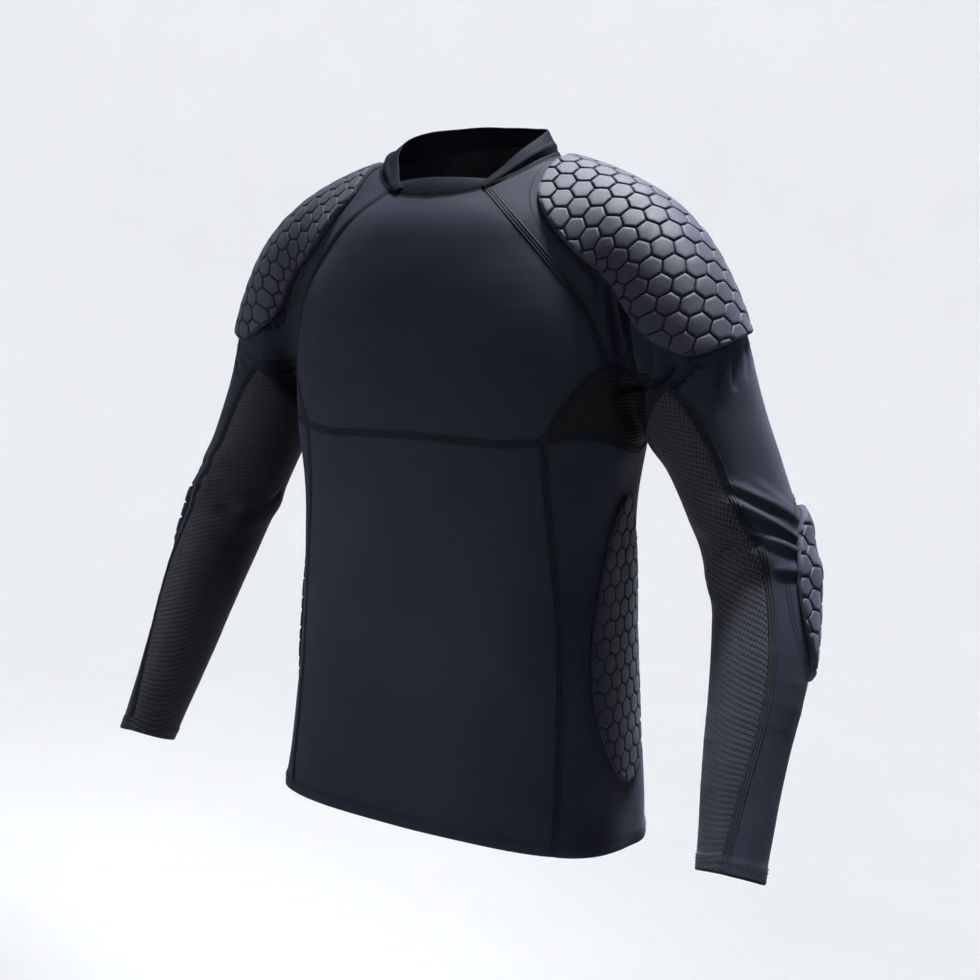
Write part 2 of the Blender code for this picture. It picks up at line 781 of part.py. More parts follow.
def skin_points(verts, tris, up):
    """Points all over a wall's outer face, with the outward direction at each."""
    half = len(verts) // 2
    up = up.reshape(-1, 3)
    marks = []
    for tri in tris:
        if min(tri) < half:
            continue
        p = verts[list(tri)]
        n = up[[k - half for k in tri]]
        for share in SKIN_SHARES:
            share = np.array(share, float) / 4
            marks.append((share @ p, unit(share @ n)))
    return marks


def nearest_wall(tree, p):
    """How far a point is outside a wall."""
    spot, n, _, _ = tree.find_nearest(Vector(p))
    return float((Vector(p) - spot).dot(n))


def pad_mesh(chart, cells, low, high, tree, wall_points):
    """A foam pad: honeycomb relief over a plain underside that lies on the cloth."""
    index, flat = {}, []

    def corner(p):
        x, y = 2 * p[0] / WELD, 2 * p[1] / WELD
        for key in [(round(x + a), round(y + b)) for a in (0, -0.5, 0.5) for b in (0, -0.5, 0.5)]:
            if key in index and math.dist(flat[index[key]], p) < WELD:
                return index[key]
        key = (round(x), round(y))
        index[key] = len(flat)
        flat.append(p)
        return index[key]

    rings = []
    for cell, share in cells:
        ring = []
        for p in cell:
            k = corner(p)
            if k not in ring:
                ring.append(k)
        if len(ring) > 2:
            rings.append((ring, share))
    count = len(flat)
    spot, up = chart.at(flat)
    base = WALL + SEAT
    verts = list(spot + up * (base + low))
    faces = []
    used = {}
    for ring, share in rings:
        for a, b in zip(ring, ring[1:] + ring[:1]):
            used[(a, b)] = True
        if share < SMALLEST_RAISED:
            faces.append(list(ring))
            continue
        poly = [flat[k] for k in ring]
        size = area_of(poly)
        border = sum(math.dist(p, q) for p, q in zip(poly, poly[1:] + poly[:1]))
        keep = 1 - min(GROOVE / (2 * size / border), 0.5)
        cx = sum(p[0] for p in poly) / len(poly)
        cy = sum(p[1] for p in poly) / len(poly)
        inner = [(cx + keep * (p[0] - cx), cy + keep * (p[1] - cy)) for p in poly]
        top_spot, top_up = chart.at(inner)
        first = len(verts)
        verts.extend(top_spot + top_up * (base + high))
        top = list(range(first, first + len(ring)))
        faces.append(top)
        for k in range(len(ring)):
            m = (k + 1) % len(ring)
            faces.append([ring[k], ring[m], top[m], top[k]])
    follow = {a: b for a, b in used if (b, a) not in used}
    start = next(iter(follow))
    loop = [start]
    while follow[loop[-1]] != start:
        loop.append(follow[loop[-1]])
    rim = [flat[k] for k in loop]
    inside = []
    for cell, share in cells:
        if share > 0.8:
            inside.append((sum(p[0] for p in cell) / len(cell), sum(p[1] for p in cell) / len(cell)))
    plane = [Vector(p) for p in rim + inside]
    edges = [(k, (k + 1) % len(rim)) for k in range(len(rim))]
    out, _, tris, origin, _, _ = delaunay_2d_cdt(plane, edges, [list(range(len(rim)))], 1, 1e-7)
    under_uv = [(p[0], p[1]) for p in out]
    back_to = {origin[k][0]: k for k in range(len(out)) if origin[k]}
    spot, up = chart.at(under_uv)
    lift = np.full(len(under_uv), base)
    for _ in range(6):
        under = spot + up * lift[:, None]
        extra = np.zeros(len(lift))
        for tri in tris:
            p = under[list(tri)]
            for share in TRIAL_SHARES:
                q = (np.array(share, float) / sum(share)) @ p
                short = SEAT - nearest_wall(tree, q)
                if short > 0:
                    for k in tri:
                        extra[k] = max(extra[k], min(short, LARGEST_LIFT))
        sheet = BVHTree.FromPolygons([tuple(p) for p in under], [tuple(t) for t in tris])
        for p, n in wall_points:
            hit = sheet.ray_cast(Vector(p - LARGEST_LIFT * n), Vector(n), 3 * LARGEST_LIFT)
            if hit[0] is None:
                continue
            short = SEAT - (hit[3] - LARGEST_LIFT)
            if short > 0:
                for k in tris[hit[2]]:
                    extra[k] = max(extra[k], min(short, LARGEST_LIFT))
        lift += extra
        if extra.max() < 2e-5:
            break
    under = spot + up * lift[:, None]
    first = len(verts)
    verts.extend(under)
    for tri in tris:
        faces.append([first + k for k in reversed(tri)])
    for k in range(len(loop)):
        m = (k + 1) % len(loop)
        faces.append([loop[m], loop[k], first + back_to[k], first + back_to[m]])
    return np.array(verts), faces


def tri_wall(grid, up):
    """A cloth wall in triangles, each square cut along its shorter diagonal."""
    verts, faces = wall_mesh(grid, up)
    tris = []
    for a, b, c, d in faces:
        if np.linalg.norm(verts[a] - verts[c]) <= np.linalg.norm(verts[b] - verts[d]):
            tris += [(a, b, c), (a, c, d)]
        else:
            tris += [(a, b, d), (b, c, d)]
    return verts, tris


def add_pair(name, verts, faces, slot, group):
    """A piece of the left side and its twin on the right."""
    add_solid(name + "_left", verts, faces, slot, group)
    add_solid(name + "_right", mirror(verts), [tuple(reversed(f)) for f in faces], slot, group)


def main():
    for old in list(bpy.data.objects):
        bpy.data.objects.remove(old, do_unlink=True)
    group = bpy.data.collections.new("padded_compression_shirt")
    bpy.context.scene.collection.children.link(group)

    grids = left_grids()
    walls = {}
    for name, grid in grids.items():
        up = normals(grid.reshape(-1, 3)).reshape(grid.shape)
        walls[name] = (*tri_wall(grid, up), grid, up)
    for name, slot in (("chest", "stretch_knit"), ("belly", "stretch_knit"), ("back", "air_mesh")):
        add_solid(name, walls[name][0], walls[name][1], slot, group)
    for name, slot in (("side", "stretch_knit"), ("gusset", "air_mesh"), ("sleeve_outer", "stretch_knit"),
                       ("sleeve_inner", "air_mesh")):
        add_pair(name, walls[name][0], walls[name][1], slot, group)

    neck_front = grids["chest"][0]
    top_front = spline(COLLAR_TOP_FRONT, 40)
    grid, up = collar_wall(neck_front, join(mirror(top_front[::-1]), top_front))
    add_solid("collar_front", *tri_wall(grid, up), "collar_knit", group)
    neck_side = grids["sleeve_outer"][0]
    neck_back = grids["back"][0]
    low = join(neck_side, neck_back[:len(neck_back) // 2 + 1])
    low = join(low, mirror(low[::-1]))
    top = join(spline(COLLAR_TOP_SIDE, 40), spline(COLLAR_TOP_BACK, 20))
    grid, up = collar_wall(low, join(top, mirror(top[::-1])))
    add_solid("collar_band", *tri_wall(grid, up), "collar_knit", group)

    for name, spine, outline, reach, first_row, groove_height, top_height, on, slot in PADS:
        verts, tris, _, up = walls[on]
        chart = Chart(spine, reach)
        cells = honeycomb(list(outline), first_row)
        tree = BVHTree.FromPolygons([tuple(v) for v in verts], tris)
        made = pad_mesh(chart, cells, groove_height, top_height, tree, skin_points(verts, tris, up))
        add_pair(name, *made, slot, group)


if __name__ == "__main__":
    main()
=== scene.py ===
"""Padded compression shirt: the looks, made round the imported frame.

The general figure and the seams are the part's own, in metres. Cloth, pads, seams and stitches
are all laid on that figure, so each piece lies where its solid is.
"""
import functools
import math

import bmesh
import bpy
import numpy as np
from bpy.props import FloatProperty, FloatVectorProperty, PointerProperty
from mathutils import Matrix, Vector


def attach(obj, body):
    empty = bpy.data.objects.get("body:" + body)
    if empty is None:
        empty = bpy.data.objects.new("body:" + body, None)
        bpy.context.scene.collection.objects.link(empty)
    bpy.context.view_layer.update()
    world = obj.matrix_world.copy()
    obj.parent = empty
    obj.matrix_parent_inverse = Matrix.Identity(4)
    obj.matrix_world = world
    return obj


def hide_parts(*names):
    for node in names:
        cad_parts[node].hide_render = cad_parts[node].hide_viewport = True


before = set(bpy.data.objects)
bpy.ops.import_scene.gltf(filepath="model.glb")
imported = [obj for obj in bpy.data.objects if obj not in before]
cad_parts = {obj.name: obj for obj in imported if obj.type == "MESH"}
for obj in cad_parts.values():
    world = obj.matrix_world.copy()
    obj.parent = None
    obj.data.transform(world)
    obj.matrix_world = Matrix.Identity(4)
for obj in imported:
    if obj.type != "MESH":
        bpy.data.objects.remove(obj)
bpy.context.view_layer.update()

bl_info = {
    "name": "Padded compression shirt",
    "version": (1, 0, 0),
    "blender": (4, 5, 0),
    "location": "3D View > Sidebar > Shirt",
    "description": "Cloth, collar, foam pads, seams and stage of a padded compression shirt",
    "category": "Object",
}

# The solids' wall, and how softly the arm and the flank run into the body
WALL = 0.0016
SQUEEZE = 0.030
FLANK_TOP = -0.035

# The body of the figure, as level sections
TORSO = (
    # z, half_width, half_depth, y_centre, squareness
    (0.030, 0.066, 0.060, 0.018, 2.2),
    (-0.030, 0.104, 0.078, 0.016, 2.2),
    (-0.070, 0.144, 0.095, 0.014, 2.3),
    (-0.120, 0.168, 0.108, 0.012, 2.4),
    (-0.170, 0.178, 0.115, 0.010, 2.5),
    (-0.220, 0.180, 0.116, 0.008, 2.6),
    (-0.270, 0.180, 0.112, 0.007, 2.7),
    (-0.340, 0.171, 0.105, 0.003, 2.8),
    (-0.440, 0.171, 0.101, -0.003, 2.9),
    (-0.520, 0.176, 0.100, -0.006, 3.0),
    (-0.600, 0.184, 0.103, -0.011, 3.0),
    (-0.680, 0.192, 0.107, -0.013, 3.0),
    (-0.740, 0.194, 0.109, -0.011, 3.0),
)

# The left sleeve, as balls strung on its middle line
ARM = (
    # x, y, z, radius
    (0.050, 0.018, -0.060, 0.054),
    (0.120, 0.018, -0.084, 0.060),
    (0.178, 0.016, -0.117, 0.060),
    (0.218, 0.014, -0.175, 0.057),
    (0.249, 0.012, -0.250, 0.050),
    (0.281, 0.007, -0.320, 0.046),
    (0.310, -0.004, -0.390, 0.044),
    (0.322, -0.038, -0.460, 0.041),
    (0.325, -0.080, -0.535, 0.034),
    (0.331, -0.120, -0.607, 0.028),
    (0.337, -0.156, -0.670, 0.026),
)

# The base of the neck, in the same way
NECK = (
    # x, y, z, radius
    (0.000, 0.030, -0.100, 0.080),
    (0.000, 0.018, 0.000, 0.062),
    (0.000, 0.010, 0.060, 0.060),
)

# Largest folds: a ridge (height above 0) or trough from one end to the other
FOLDS = (
    # x0, y0, z0, x1, y1, z1, half_width, height
    (0.186, -0.060, -0.120, 0.198, -0.046, -0.206, 0.013, -0.0050),
    (0.212, -0.052, -0.150, 0.218, -0.045, -0.212, 0.012, 0.0030),
    (0.288, -0.048, -0.318, 0.345, 0.012, -0.338, 0.014, 0.0042),
    (0.312, -0.046, -0.356, 0.352, 0.000, -0.378, 0.013, 0.0036),
    (0.262, -0.020, -0.352, 0.305, -0.046, -0.372, 0.013, -0.0038),
    (0.255, 0.030, -0.378, 0.272, -0.030, -0.395, 0.012, 0.0030),
    (0.130, -0.100, -0.610, 0.175, -0.075, -0.655, 0.022, 0.0030),
    (0.180, 0.040, -0.590, 0.192, 0.010, -0.655, 0.018, 0.0035),
)

# Seams of the left half. Each point is moved the short way onto the figure
NECK_FRONT = (
    # x, y, z
    (0.000, -0.066, -0.052),
    (0.028, -0.062, -0.050),
    (0.054, -0.050, -0.045),
)
NECK_SIDE = (
    # x, y, z
    (0.054, -0.050, -0.045),
    (0.082, -0.024, -0.028),
    (0.094, 0.008, -0.014),
    (0.086, 0.040, -0.004),
    (0.058, 0.066, 0.003),
)
NECK_BACK = (
    # x, y, z
    (0.058, 0.066, 0.003),
    (0.030, 0.080, 0.006),
    (0.000, 0.084, 0.007),
)
RAGLAN_FRONT = (
    # x, y, z
    (0.054, -0.050, -0.045),
    (0.086, -0.066, -0.068),
    (0.115, -0.067, -0.097),
    (0.137, -0.062, -0.124),
    (0.156, -0.057, -0.151),
    (0.167, -0.051, -0.177),
    (0.175, -0.044, -0.202),
)
RAGLAN_BACK = (
    # x, y, z
    (0.058, 0.066, 0.003),
    (0.086, 0.088, -0.040),
    (0.116, 0.096, -0.080),
    (0.146, 0.088, -0.120),
    (0.168, 0.076, -0.160),
    (0.180, 0.066, -0.202),
)
GUSSET_FRONT = (
    # x, y, z
    (0.175, -0.044, -0.202),
    (0.166, -0.058, -0.211),
    (0.151, -0.073, -0.230),
    (0.131, -0.087, -0.268),
)
GUSSET_BACK = (
    # x, y, z
    (0.180, 0.066, -0.202),
    (0.168, 0.078, -0.212),
    (0.153, 0.090, -0.232),
    (0.133, 0.102, -0.268),
)
GUSSET_LOW = (
    # x, y, z
    (0.131, -0.087, -0.268),
    (0.152, -0.071, -0.264),
    (0.168, -0.050, -0.266),
    (0.177, -0.020, -0.276),
    (0.178, 0.008, -0.282),
    (0.177, 0.038, -0.276),
    (0.168, 0.070, -0.266),
    (0.152, 0.089, -0.264),
    (0.133, 0.102, -0.268),
)
ARMHOLE_FRONT = (
    # x, y, z
    (0.175, -0.044, -0.202),
    (0.204, -0.040, -0.214),
    (0.232, -0.046, -0.217),
)
ARMHOLE_BACK = (
    # x, y, z
    (0.180, 0.066, -0.202),
    (0.204, 0.062, -0.214),
    (0.232, 0.070, -0.217),
)
MESH_TOP = (
    # x, y, z
    (0.232, -0.046, -0.217),
    (0.219, -0.042, -0.226),
    (0.207, -0.030, -0.242),
    (0.199, -0.010, -0.262),
    (0.197, 0.010, -0.270),
    (0.199, 0.032, -0.262),
    (0.207, 0.052, -0.242),
    (0.219, 0.066, -0.226),
    (0.232, 0.070, -0.217),
)
SLEEVE_FRONT = (
    # x, y, z
    (0.232, -0.046, -0.217),
    (0.254, -0.042, -0.240),
    (0.275, -0.038, -0.274),
    (0.292, -0.038, -0.310),
    (0.307, -0.038, -0.336),
    (0.322, -0.038, -0.360),
    (0.334, -0.050, -0.400),
    (0.343, -0.070, -0.445),
    (0.345, -0.094, -0.490),
    (0.339, -0.124, -0.545),
    (0.333, -0.150, -0.602),
)
SLEEVE_BACK = (
    # x, y, z
    (0.232, 0.070, -0.217),
    (0.240, 0.064, -0.255),
    (0.264, 0.053, -0.320),
    (0.291, 0.040, -0.390),
    (0.305, 0.003, -0.460),
    (0.314, -0.043, -0.535),
    (0.320, -0.098, -0.626),
)
SHOULDER_LINE = (
    # x, y, z
    (0.094, 0.008, -0.014),
    (0.140, 0.016, -0.030),
    (0.185, 0.016, -0.050),
    (0.235, 0.016, -0.090),
    (0.270, 0.015, -0.145),
    (0.288, 0.013, -0.200),
    (0.310, 0.008, -0.270),
    (0.338, 0.000, -0.350),
    (0.354, -0.024, -0.410),
    (0.359, -0.058, -0.480),
    (0.360, -0.124, -0.616),
)
UNDERARM_LINE = (
    # x, y, z
    (0.197, 0.010, -0.270),
    (0.222, 0.010, -0.300),
    (0.240, 0.006, -0.335),
    (0.264, -0.008, -0.400),
    (0.279, -0.044, -0.470),
    (0.292, -0.082, -0.535),
    (0.304, -0.124, -0.616),
)
CHEST_SEAM = (
    # x, y, z
    (0.000, -0.108, -0.268),
    (0.048, -0.106, -0.269),
    (0.096, -0.099, -0.271),
    (0.131, -0.087, -0.268),
)
PRINCESS = (
    # x, y, z
    (0.131, -0.087, -0.268),
    (0.134, -0.083, -0.322),
    (0.139, -0.079, -0.380),
    (0.144, -0.078, -0.440),
    (0.147, -0.080, -0.500),
    (0.149, -0.086, -0.570),
    (0.150, -0.095, -0.653),
)
BACK_SEAM = (
    # x, y, z
    (0.133, 0.102, -0.268),
    (0.136, 0.090, -0.340),
    (0.139, 0.078, -0.440),
    (0.145, 0.074, -0.540),
    (0.152, 0.076, -0.676),
)
HEM_FRONT = (
    # x, y, z
    (0.000, -0.118, -0.650),
    (0.075, -0.114, -0.650),
    (0.150, -0.095, -0.653),
)
HEM_SIDE = (
    # x, y, z
    (0.150, -0.095, -0.653),
    (0.182, -0.062, -0.658),
    (0.190, -0.010, -0.667),
    (0.182, 0.046, -0.674),
    (0.152, 0.076, -0.676),
)
HEM_BACK = (
    # x, y, z
    (0.152, 0.076, -0.676),
    (0.075, 0.093, -0.680),
    (0.000, 0.097, -0.681),
)

# Collar: where its top edge stands, for the front band and for the band round the back
COLLAR_TOP_FRONT = (
    # x, y, z
    (0.000, -0.055, -0.033),
    (0.028, -0.052, -0.034),
    (0.052, -0.0445, -0.036),
)
COLLAR_TOP_SIDE = (
    # x, y, z
    (0.052, -0.0455, -0.038),
    (0.060, -0.034, -0.026),
    (0.070, -0.018, -0.010),
    (0.076, 0.008, 0.004),
    (0.069, 0.038, 0.014),
    (0.046, 0.060, 0.018),
)
COLLAR_TOP_BACK = (
    # x, y, z
    (0.046, 0.060, 0.018),
    (0.024, 0.070, 0.020),
    (0.000, 0.073, 0.020),
)


def whole_outline(half):
    """An outline from its half, whose first and last points are on the middle line."""
    return half + tuple((-across, run) for across, run in half[-2:0:-1])


# Pads: the size of a cell, and each pad's middle line and outline on the cloth
PITCH = 0.0190
SHOULDER_SPINE = (
    # x, y, z
    (0.100, 0.012, -0.016),
    (0.140, 0.016, -0.030),
    (0.185, 0.016, -0.050),
    (0.235, 0.016, -0.090),
    (0.270, 0.015, -0.145),
    (0.288, 0.013, -0.200),
    (0.302, 0.011, -0.250),
)
SHOULDER_SOLID = (
    # across, along: the outline of the solid, which is longer and wider than the pad shown here
    (0.000, 0.006), (-0.030, 0.007), (-0.056, 0.012), (-0.076, 0.026), (-0.090, 0.052), (-0.098, 0.092),
    (-0.101, 0.140), (-0.099, 0.188), (-0.092, 0.225), (-0.077, 0.253), (-0.056, 0.266), (0.000, 0.262),
    (0.050, 0.254), (0.074, 0.242), (0.092, 0.216), (0.099, 0.180), (0.101, 0.140), (0.098, 0.092),
    (0.090, 0.052), (0.076, 0.026), (0.056, 0.012), (0.030, 0.007),
)
SHOULDER_NARROWER = 0.985
SHOULDER_SHORTER = 0.925
SOLID_START = 0.006
SHOULDER_START = 0.011
SHOULDER_OUTLINE = tuple(
    (round(SHOULDER_NARROWER * across, 3), round(SHOULDER_START + SHOULDER_SHORTER * (run - SOLID_START), 3))
    for across, run in SHOULDER_SOLID)
ELBOW_SPINE = (
    # x, y, z
    (0.318, 0.036, -0.318),
    (0.332, 0.030, -0.358),
    (0.344, 0.018, -0.400),
    (0.350, -0.008, -0.448),
    (0.352, -0.034, -0.498),
)
ELBOW_OUTLINE = whole_outline((
    # across, along
    (0.000, 0.014), (-0.022, 0.019), (-0.039, 0.036), (-0.048, 0.062), (-0.050, 0.092), (-0.044, 0.124),
    (-0.031, 0.150), (-0.015, 0.164), (0.000, 0.168),
))
RIB_SPINE = (
    # x, y, z
    (0.175, 0.004, -0.290),
    (0.169, 0.003, -0.340),
    (0.171, -0.002, -0.440),
    (0.176, -0.006, -0.520),
    (0.183, -0.009, -0.600),
    (0.188, -0.010, -0.650),
)
RIB_OUTLINE = whole_outline((
    # across, along
    (0.000, 0.036), (-0.015, 0.047), (-0.028, 0.074), (-0.038, 0.106), (-0.046, 0.140), (-0.051, 0.178),
    (-0.051, 0.220), (-0.045, 0.254), (-0.034, 0.284), (-0.018, 0.306), (0.000, 0.314),
))
PADS = (
    # name, middle_line, outline, reach_across, first_row, points_along, groove_height, top_height, slot
    ("shoulder_pad", SHOULDER_SPINE, SHOULDER_OUTLINE, 0.114, 0.010, False, 0.0036, 0.0062, "pad_cover"),
    ("elbow_pad", ELBOW_SPINE, ELBOW_OUTLINE, 0.066, 0.008, False, 0.0036, 0.0062, "pad_cover"),
    ("rib_pad", RIB_SPINE, RIB_OUTLINE, 0.075, 0.012, True, 0.0025, 0.0042, "rib_pad_cover"),
)
# A cell under this share of a whole one stays flat
SMALLEST_RAISED = 0.03
CELL_PROFILE = (
    # inset in groove half widths, share of the rise, how raised it looks to the cover's painted groove shade
    # (lower is darker)
    (0.30, 0.03, 0.0), (0.80, 0.42, 0.35), (1.25, 0.84, 0.85), (2.0, 0.98, 1.0), (4.0, 1.0, 1.0),
)
RIM_PROFILE = (
    # reach, share of the height
    (0.0004, 0.86), (0.0008, 0.60), (0.0010, 0.30), (0.0009, 0.04),
)
RIM_RISE = 0.62
# How raised the cells' rim and the outer wall look to the cover's painted shade: the wall is painted darker
# towards the cloth
RIM_SHOWN = 0.8
RIM_SIDE_SHOWN = 0.45
PAD_LIFT = 0.0001
OUTLINE_POINTS = 72
CHART_TURNS = 400
CHART_PULL = 0.20
CHART_SMOOTH = 0.04
CELL_ROWS = range(-24, 25)
CELL_COLUMNS = range(-18, 19)
CHART_ROW = 0.010
CHART_STEP = 0.0075
WELD = 0.00004
EDGE_STEP = 0.004
PAD_STITCHES = (("shoulder_pad", (0.0085,)), ("elbow_pad", (0.0080, 0.0110)), ("rib_pad", (0.0060, 0.0095)))

# Collar and sewing
NECK_MIDDLE = 0.015
COLLAR_BOW = 0.0015
COLLAR_ROWS = 15
COLLAR_ROLL = 0.0032
LAP_LIFT = 0.0016
COLLAR_CREASES = 0.3
BAND_LEAN = (0.006, 0.0, 0.004)
FRONT_LEAN = (0.006, 0.0, 0.0)
COLLAR_THICKNESS = 0.0018
LAP_STEPS = (2, 12)

# A flat seam across: its points, how far a stitch's notch cuts in, and which points are set over by
# one stitch, which are the middle ridge's
BAND_POINTS = 13
BAND_SET_OVER = np.array([0, 0, 0, 0, 0, 1, 1, 1, 0, 0, 0, 0, 0])
NOTCH = 0.38
BAND_LIFT = 0.00012
BAND_SUNK = 0.0007
NECK_SEAM_WIDTH = 0.0028
NECK_SEAM_RIDGE = 0.0004

# A stitch's width and its length as a share of its space, and how far its ends are drawn down
STITCH_WIDTH = 0.55 * 0.001
STITCH_LENGTH = 0.68
STITCH_PULL = 0.0005
STITCH_LIFT = 0.00015
STITCH_AHEAD = 0.0008
HEM_LIFT = 0.0006
HEM_ROWS_IN = (0.0012, 0.0042)

# The camera of the photo: where it stands and looks, and its focal length and middle in pixels
CAMERA_TURN = math.radians(30.0)
CAMERA_RISE = math.radians(10.0)
CAMERA_DISTANCE = 1.30
AIM_ACROSS = 0.024
AIM_HEIGHT = -0.336
PHOTO_FOCAL = 1290.0
PHOTO_MIDDLE = 490.0

# How a line of sight is followed to the cloth: where it starts, how boldly and how close it gets
SIGHT_START = 0.74
SIGHT_SHARE = 0.6
SIGHT_CLOSE = 2e-5
SIGHT_LEAST = 1e-5
SIGHT_TURNS = 400

# The floor, the curve up to the backdrop and the backdrop
FLOOR_RADIUS = 3.2
BEND_RADIUS = 1.6
BEND_STEPS = 12
BACKDROP_HEIGHT = 2.6
LAMPS = (
    # name, place, aim, power property, size, spread in degrees
    ("top_light", (0.3, 0.55, 2.4), (0.24, 0.0, -0.06), "top_power", 0.6, 18),
    ("side_light", (2.3, -0.6, 2.0), (0.22, 0.0, -0.10), "side_power", 0.7, 30),
    ("front_light", (-2.2, -2.2, 0.3), (-0.02, -0.05, -0.44), "front_power", 0.5, 11),
)
SKY_COLOUR = (0.95, 0.97, 1.0, 1)
SKY_STRENGTH = 1.05

# Steps of each seam of the left half. Pieces that share a seam share its steps
STEPS = {
    "neck_front": 44, "neck_side": 104, "neck_back": 44, "raglan": 88, "gusset_edge": 34, "gusset_low": 66,
    "armhole": 12, "mesh_top": 42, "sleeve": 176, "chest": 44, "princess": 136,
}

# Creases of the cloth: soft ridges (height above 0) and troughs, bent through a middle point.
# A point of two numbers is a place given in the photo, in pixels from its top left corner,
# and crease_lines() finds where it lies on the cloth. A point of three numbers is x, y, z.
CREASES = (
    # first_point, middle_point, last_point, half_width, height
    # near armpit, from the body outward
    ((596, 264), (598, 296), (600, 324), 0.0045, -0.0022),
    ((608, 287), (613, 320), (622, 364), 0.0034, -0.0100),
    ((615, 300), (619, 328), (625, 354), 0.0028, 0.0030),
    ((621, 300), (626, 332), (632, 374), 0.0035, -0.0115),
    ((634, 322), (636, 340), (636, 358), 0.0036, 0.0032),
    ((646, 342), (646, 366), (640, 388), 0.0050, -0.0140),
    ((655, 352), (657, 366), (655, 378), 0.0032, 0.0030),
    ((679, 364), (664, 379), (650, 392), 0.0042, -0.0115),
    ((692, 365), (679, 377), (668, 386), 0.0034, 0.0040),
    ((702, 363), (686, 377), (672, 391), 0.0031, -0.0095),
    # under the near shoulder pad
    ((719, 356), (714, 368), (709, 380), 0.0028, -0.0042),
    ((727, 350), (721, 371), (716, 388), 0.0030, -0.0068),
    ((732, 352), (729, 368), (727, 384), 0.0028, 0.0016),
    ((737, 348), (736, 368), (735, 388), 0.0028, -0.0055),
    ((746, 344), (748, 362), (748, 378), 0.0026, -0.0022),
    ((717, 384), (718, 398), (720, 414), 0.0046, -0.0016),
    # at the near elbow
    ((757, 484), (780, 501), (799, 516), 0.0044, 0.0020),
    ((729, 484), (759, 498), (797, 520), 0.0036, 0.0032),
    ((733, 492), (754, 503), (778, 514), 0.0050, -0.0028),
    ((733, 502), (760, 516), (801, 543), 0.0040, 0.0046),
    ((741, 512), (762, 524), (797, 545), 0.0040, -0.0042),
    ((755, 536), (781, 544), (804, 555), 0.0040, 0.0034),
    ((765, 547), (784, 555), (803, 563), 0.0052, -0.0018),
    ((776, 570), (790, 571), (804, 573), 0.0036, 0.0026),
    ((778, 578), (792, 578), (806, 578), 0.0042, -0.0022),
    ((708, 515), (732, 527), (754, 536), 0.0050, 0.0034),
    ((712, 566), (730, 549), (760, 541), 0.0042, -0.0070),
    ((722, 580), (738, 572), (756, 568), 0.0060, 0.0020),
    # in the near armpit and below it
    ((0.190, -0.048, -0.200), (0.196, -0.034, -0.220), (0.198, -0.016, -0.236), 0.0090, -0.0070),
    ((0.192, -0.040, -0.270), (0.196, -0.010, -0.275), (0.196, 0.030, -0.273), 0.0200, 0.0090),
    # behind the left sleeve
    ((0.178, 0.072, -0.118), (0.186, 0.070, -0.155), (0.196, 0.056, -0.205), 0.0042, -0.0058),
    ((0.192, 0.074, -0.132), (0.200, 0.070, -0.165), (0.206, 0.054, -0.206), 0.0040, 0.0030),
    ((0.212, 0.072, -0.150), (0.214, 0.068, -0.185), (0.212, 0.056, -0.222), 0.0046, -0.0061),
    ((0.232, 0.066, -0.176), (0.230, 0.064, -0.198), (0.222, 0.058, -0.220), 0.0040, 0.0027),
    ((0.258, 0.046, -0.262), (0.284, 0.044, -0.280), (0.310, 0.036, -0.296), 0.0060, -0.0027),
    ((0.262, 0.050, -0.290), (0.285, 0.046, -0.306), (0.310, 0.038, -0.318), 0.0055, 0.0024),
    # right sleeve. Where a crease runs out of sight round the sleeve, its first point is x, y, z
    ((-0.190, -0.048, -0.196), (-0.196, -0.032, -0.224), (-0.198, -0.010, -0.246), 0.0100, -0.0080),
    ((282, 256), (281, 288), (284, 322), 0.0030, -0.0048),
    ((289, 252), (288, 276), (286, 304), 0.0040, 0.0030),
    ((270, 266), (274, 296), (281, 332), 0.0028, -0.0051),
    ((276, 278), (278, 304), (284, 344), 0.0024, 0.0030),
    ((261, 276), (262, 306), (276, 340), 0.0030, -0.0044),
    ((266, 282), (267, 306), (280, 342), 0.0024, 0.0027),
    ((255, 282), (253, 306), (252, 330), 0.0026, -0.0041),
    ((-0.262, -0.012, -0.134), (246, 310), (244, 332), 0.0026, -0.0041),
    ((-0.276, -0.002, -0.150), (-0.272, -0.018, -0.172), (-0.268, -0.026, -0.190), 0.0026, -0.0037),
    ((250, 338), (262, 347), (277, 354), 0.0026, 0.0035),
    ((239, 343), (248, 352), (259, 361), 0.0024, -0.0044),
    ((-0.268, -0.028, -0.200), (242, 357), (250, 368), 0.0024, -0.0037),
    ((-0.278, -0.022, -0.204), (237, 366), (241, 378), 0.0024, -0.0027),
    ((-0.320, -0.044, -0.352), (222, 508), (283, 490), 0.0050, -0.0075),
    ((-0.330, -0.040, -0.330), (-0.312, -0.040, -0.342), (-0.290, -0.044, -0.346), 0.0050, 0.0035),
    ((-0.346, -0.012, -0.342), (-0.332, -0.030, -0.333), (-0.310, -0.038, -0.325), 0.0045, -0.0041),
    ((-0.350, -0.012, -0.362), (-0.338, -0.028, -0.352), (-0.318, -0.036, -0.345), 0.0045, 0.0035),
    # behind the right sleeve
    ((-0.176, 0.072, -0.114), (-0.185, 0.071, -0.150), (-0.194, 0.056, -0.204), 0.0044, -0.0054),
    ((-0.196, 0.074, -0.136), (-0.203, 0.070, -0.168), (-0.208, 0.054, -0.210), 0.0042, 0.0027),
    ((-0.218, 0.070, -0.156), (-0.218, 0.066, -0.190), (-0.214, 0.056, -0.222), 0.0042, -0.0054),
    ((-0.260, 0.046, -0.270), (-0.284, 0.044, -0.286), (-0.308, 0.036, -0.300), 0.0060, 0.0022),
)


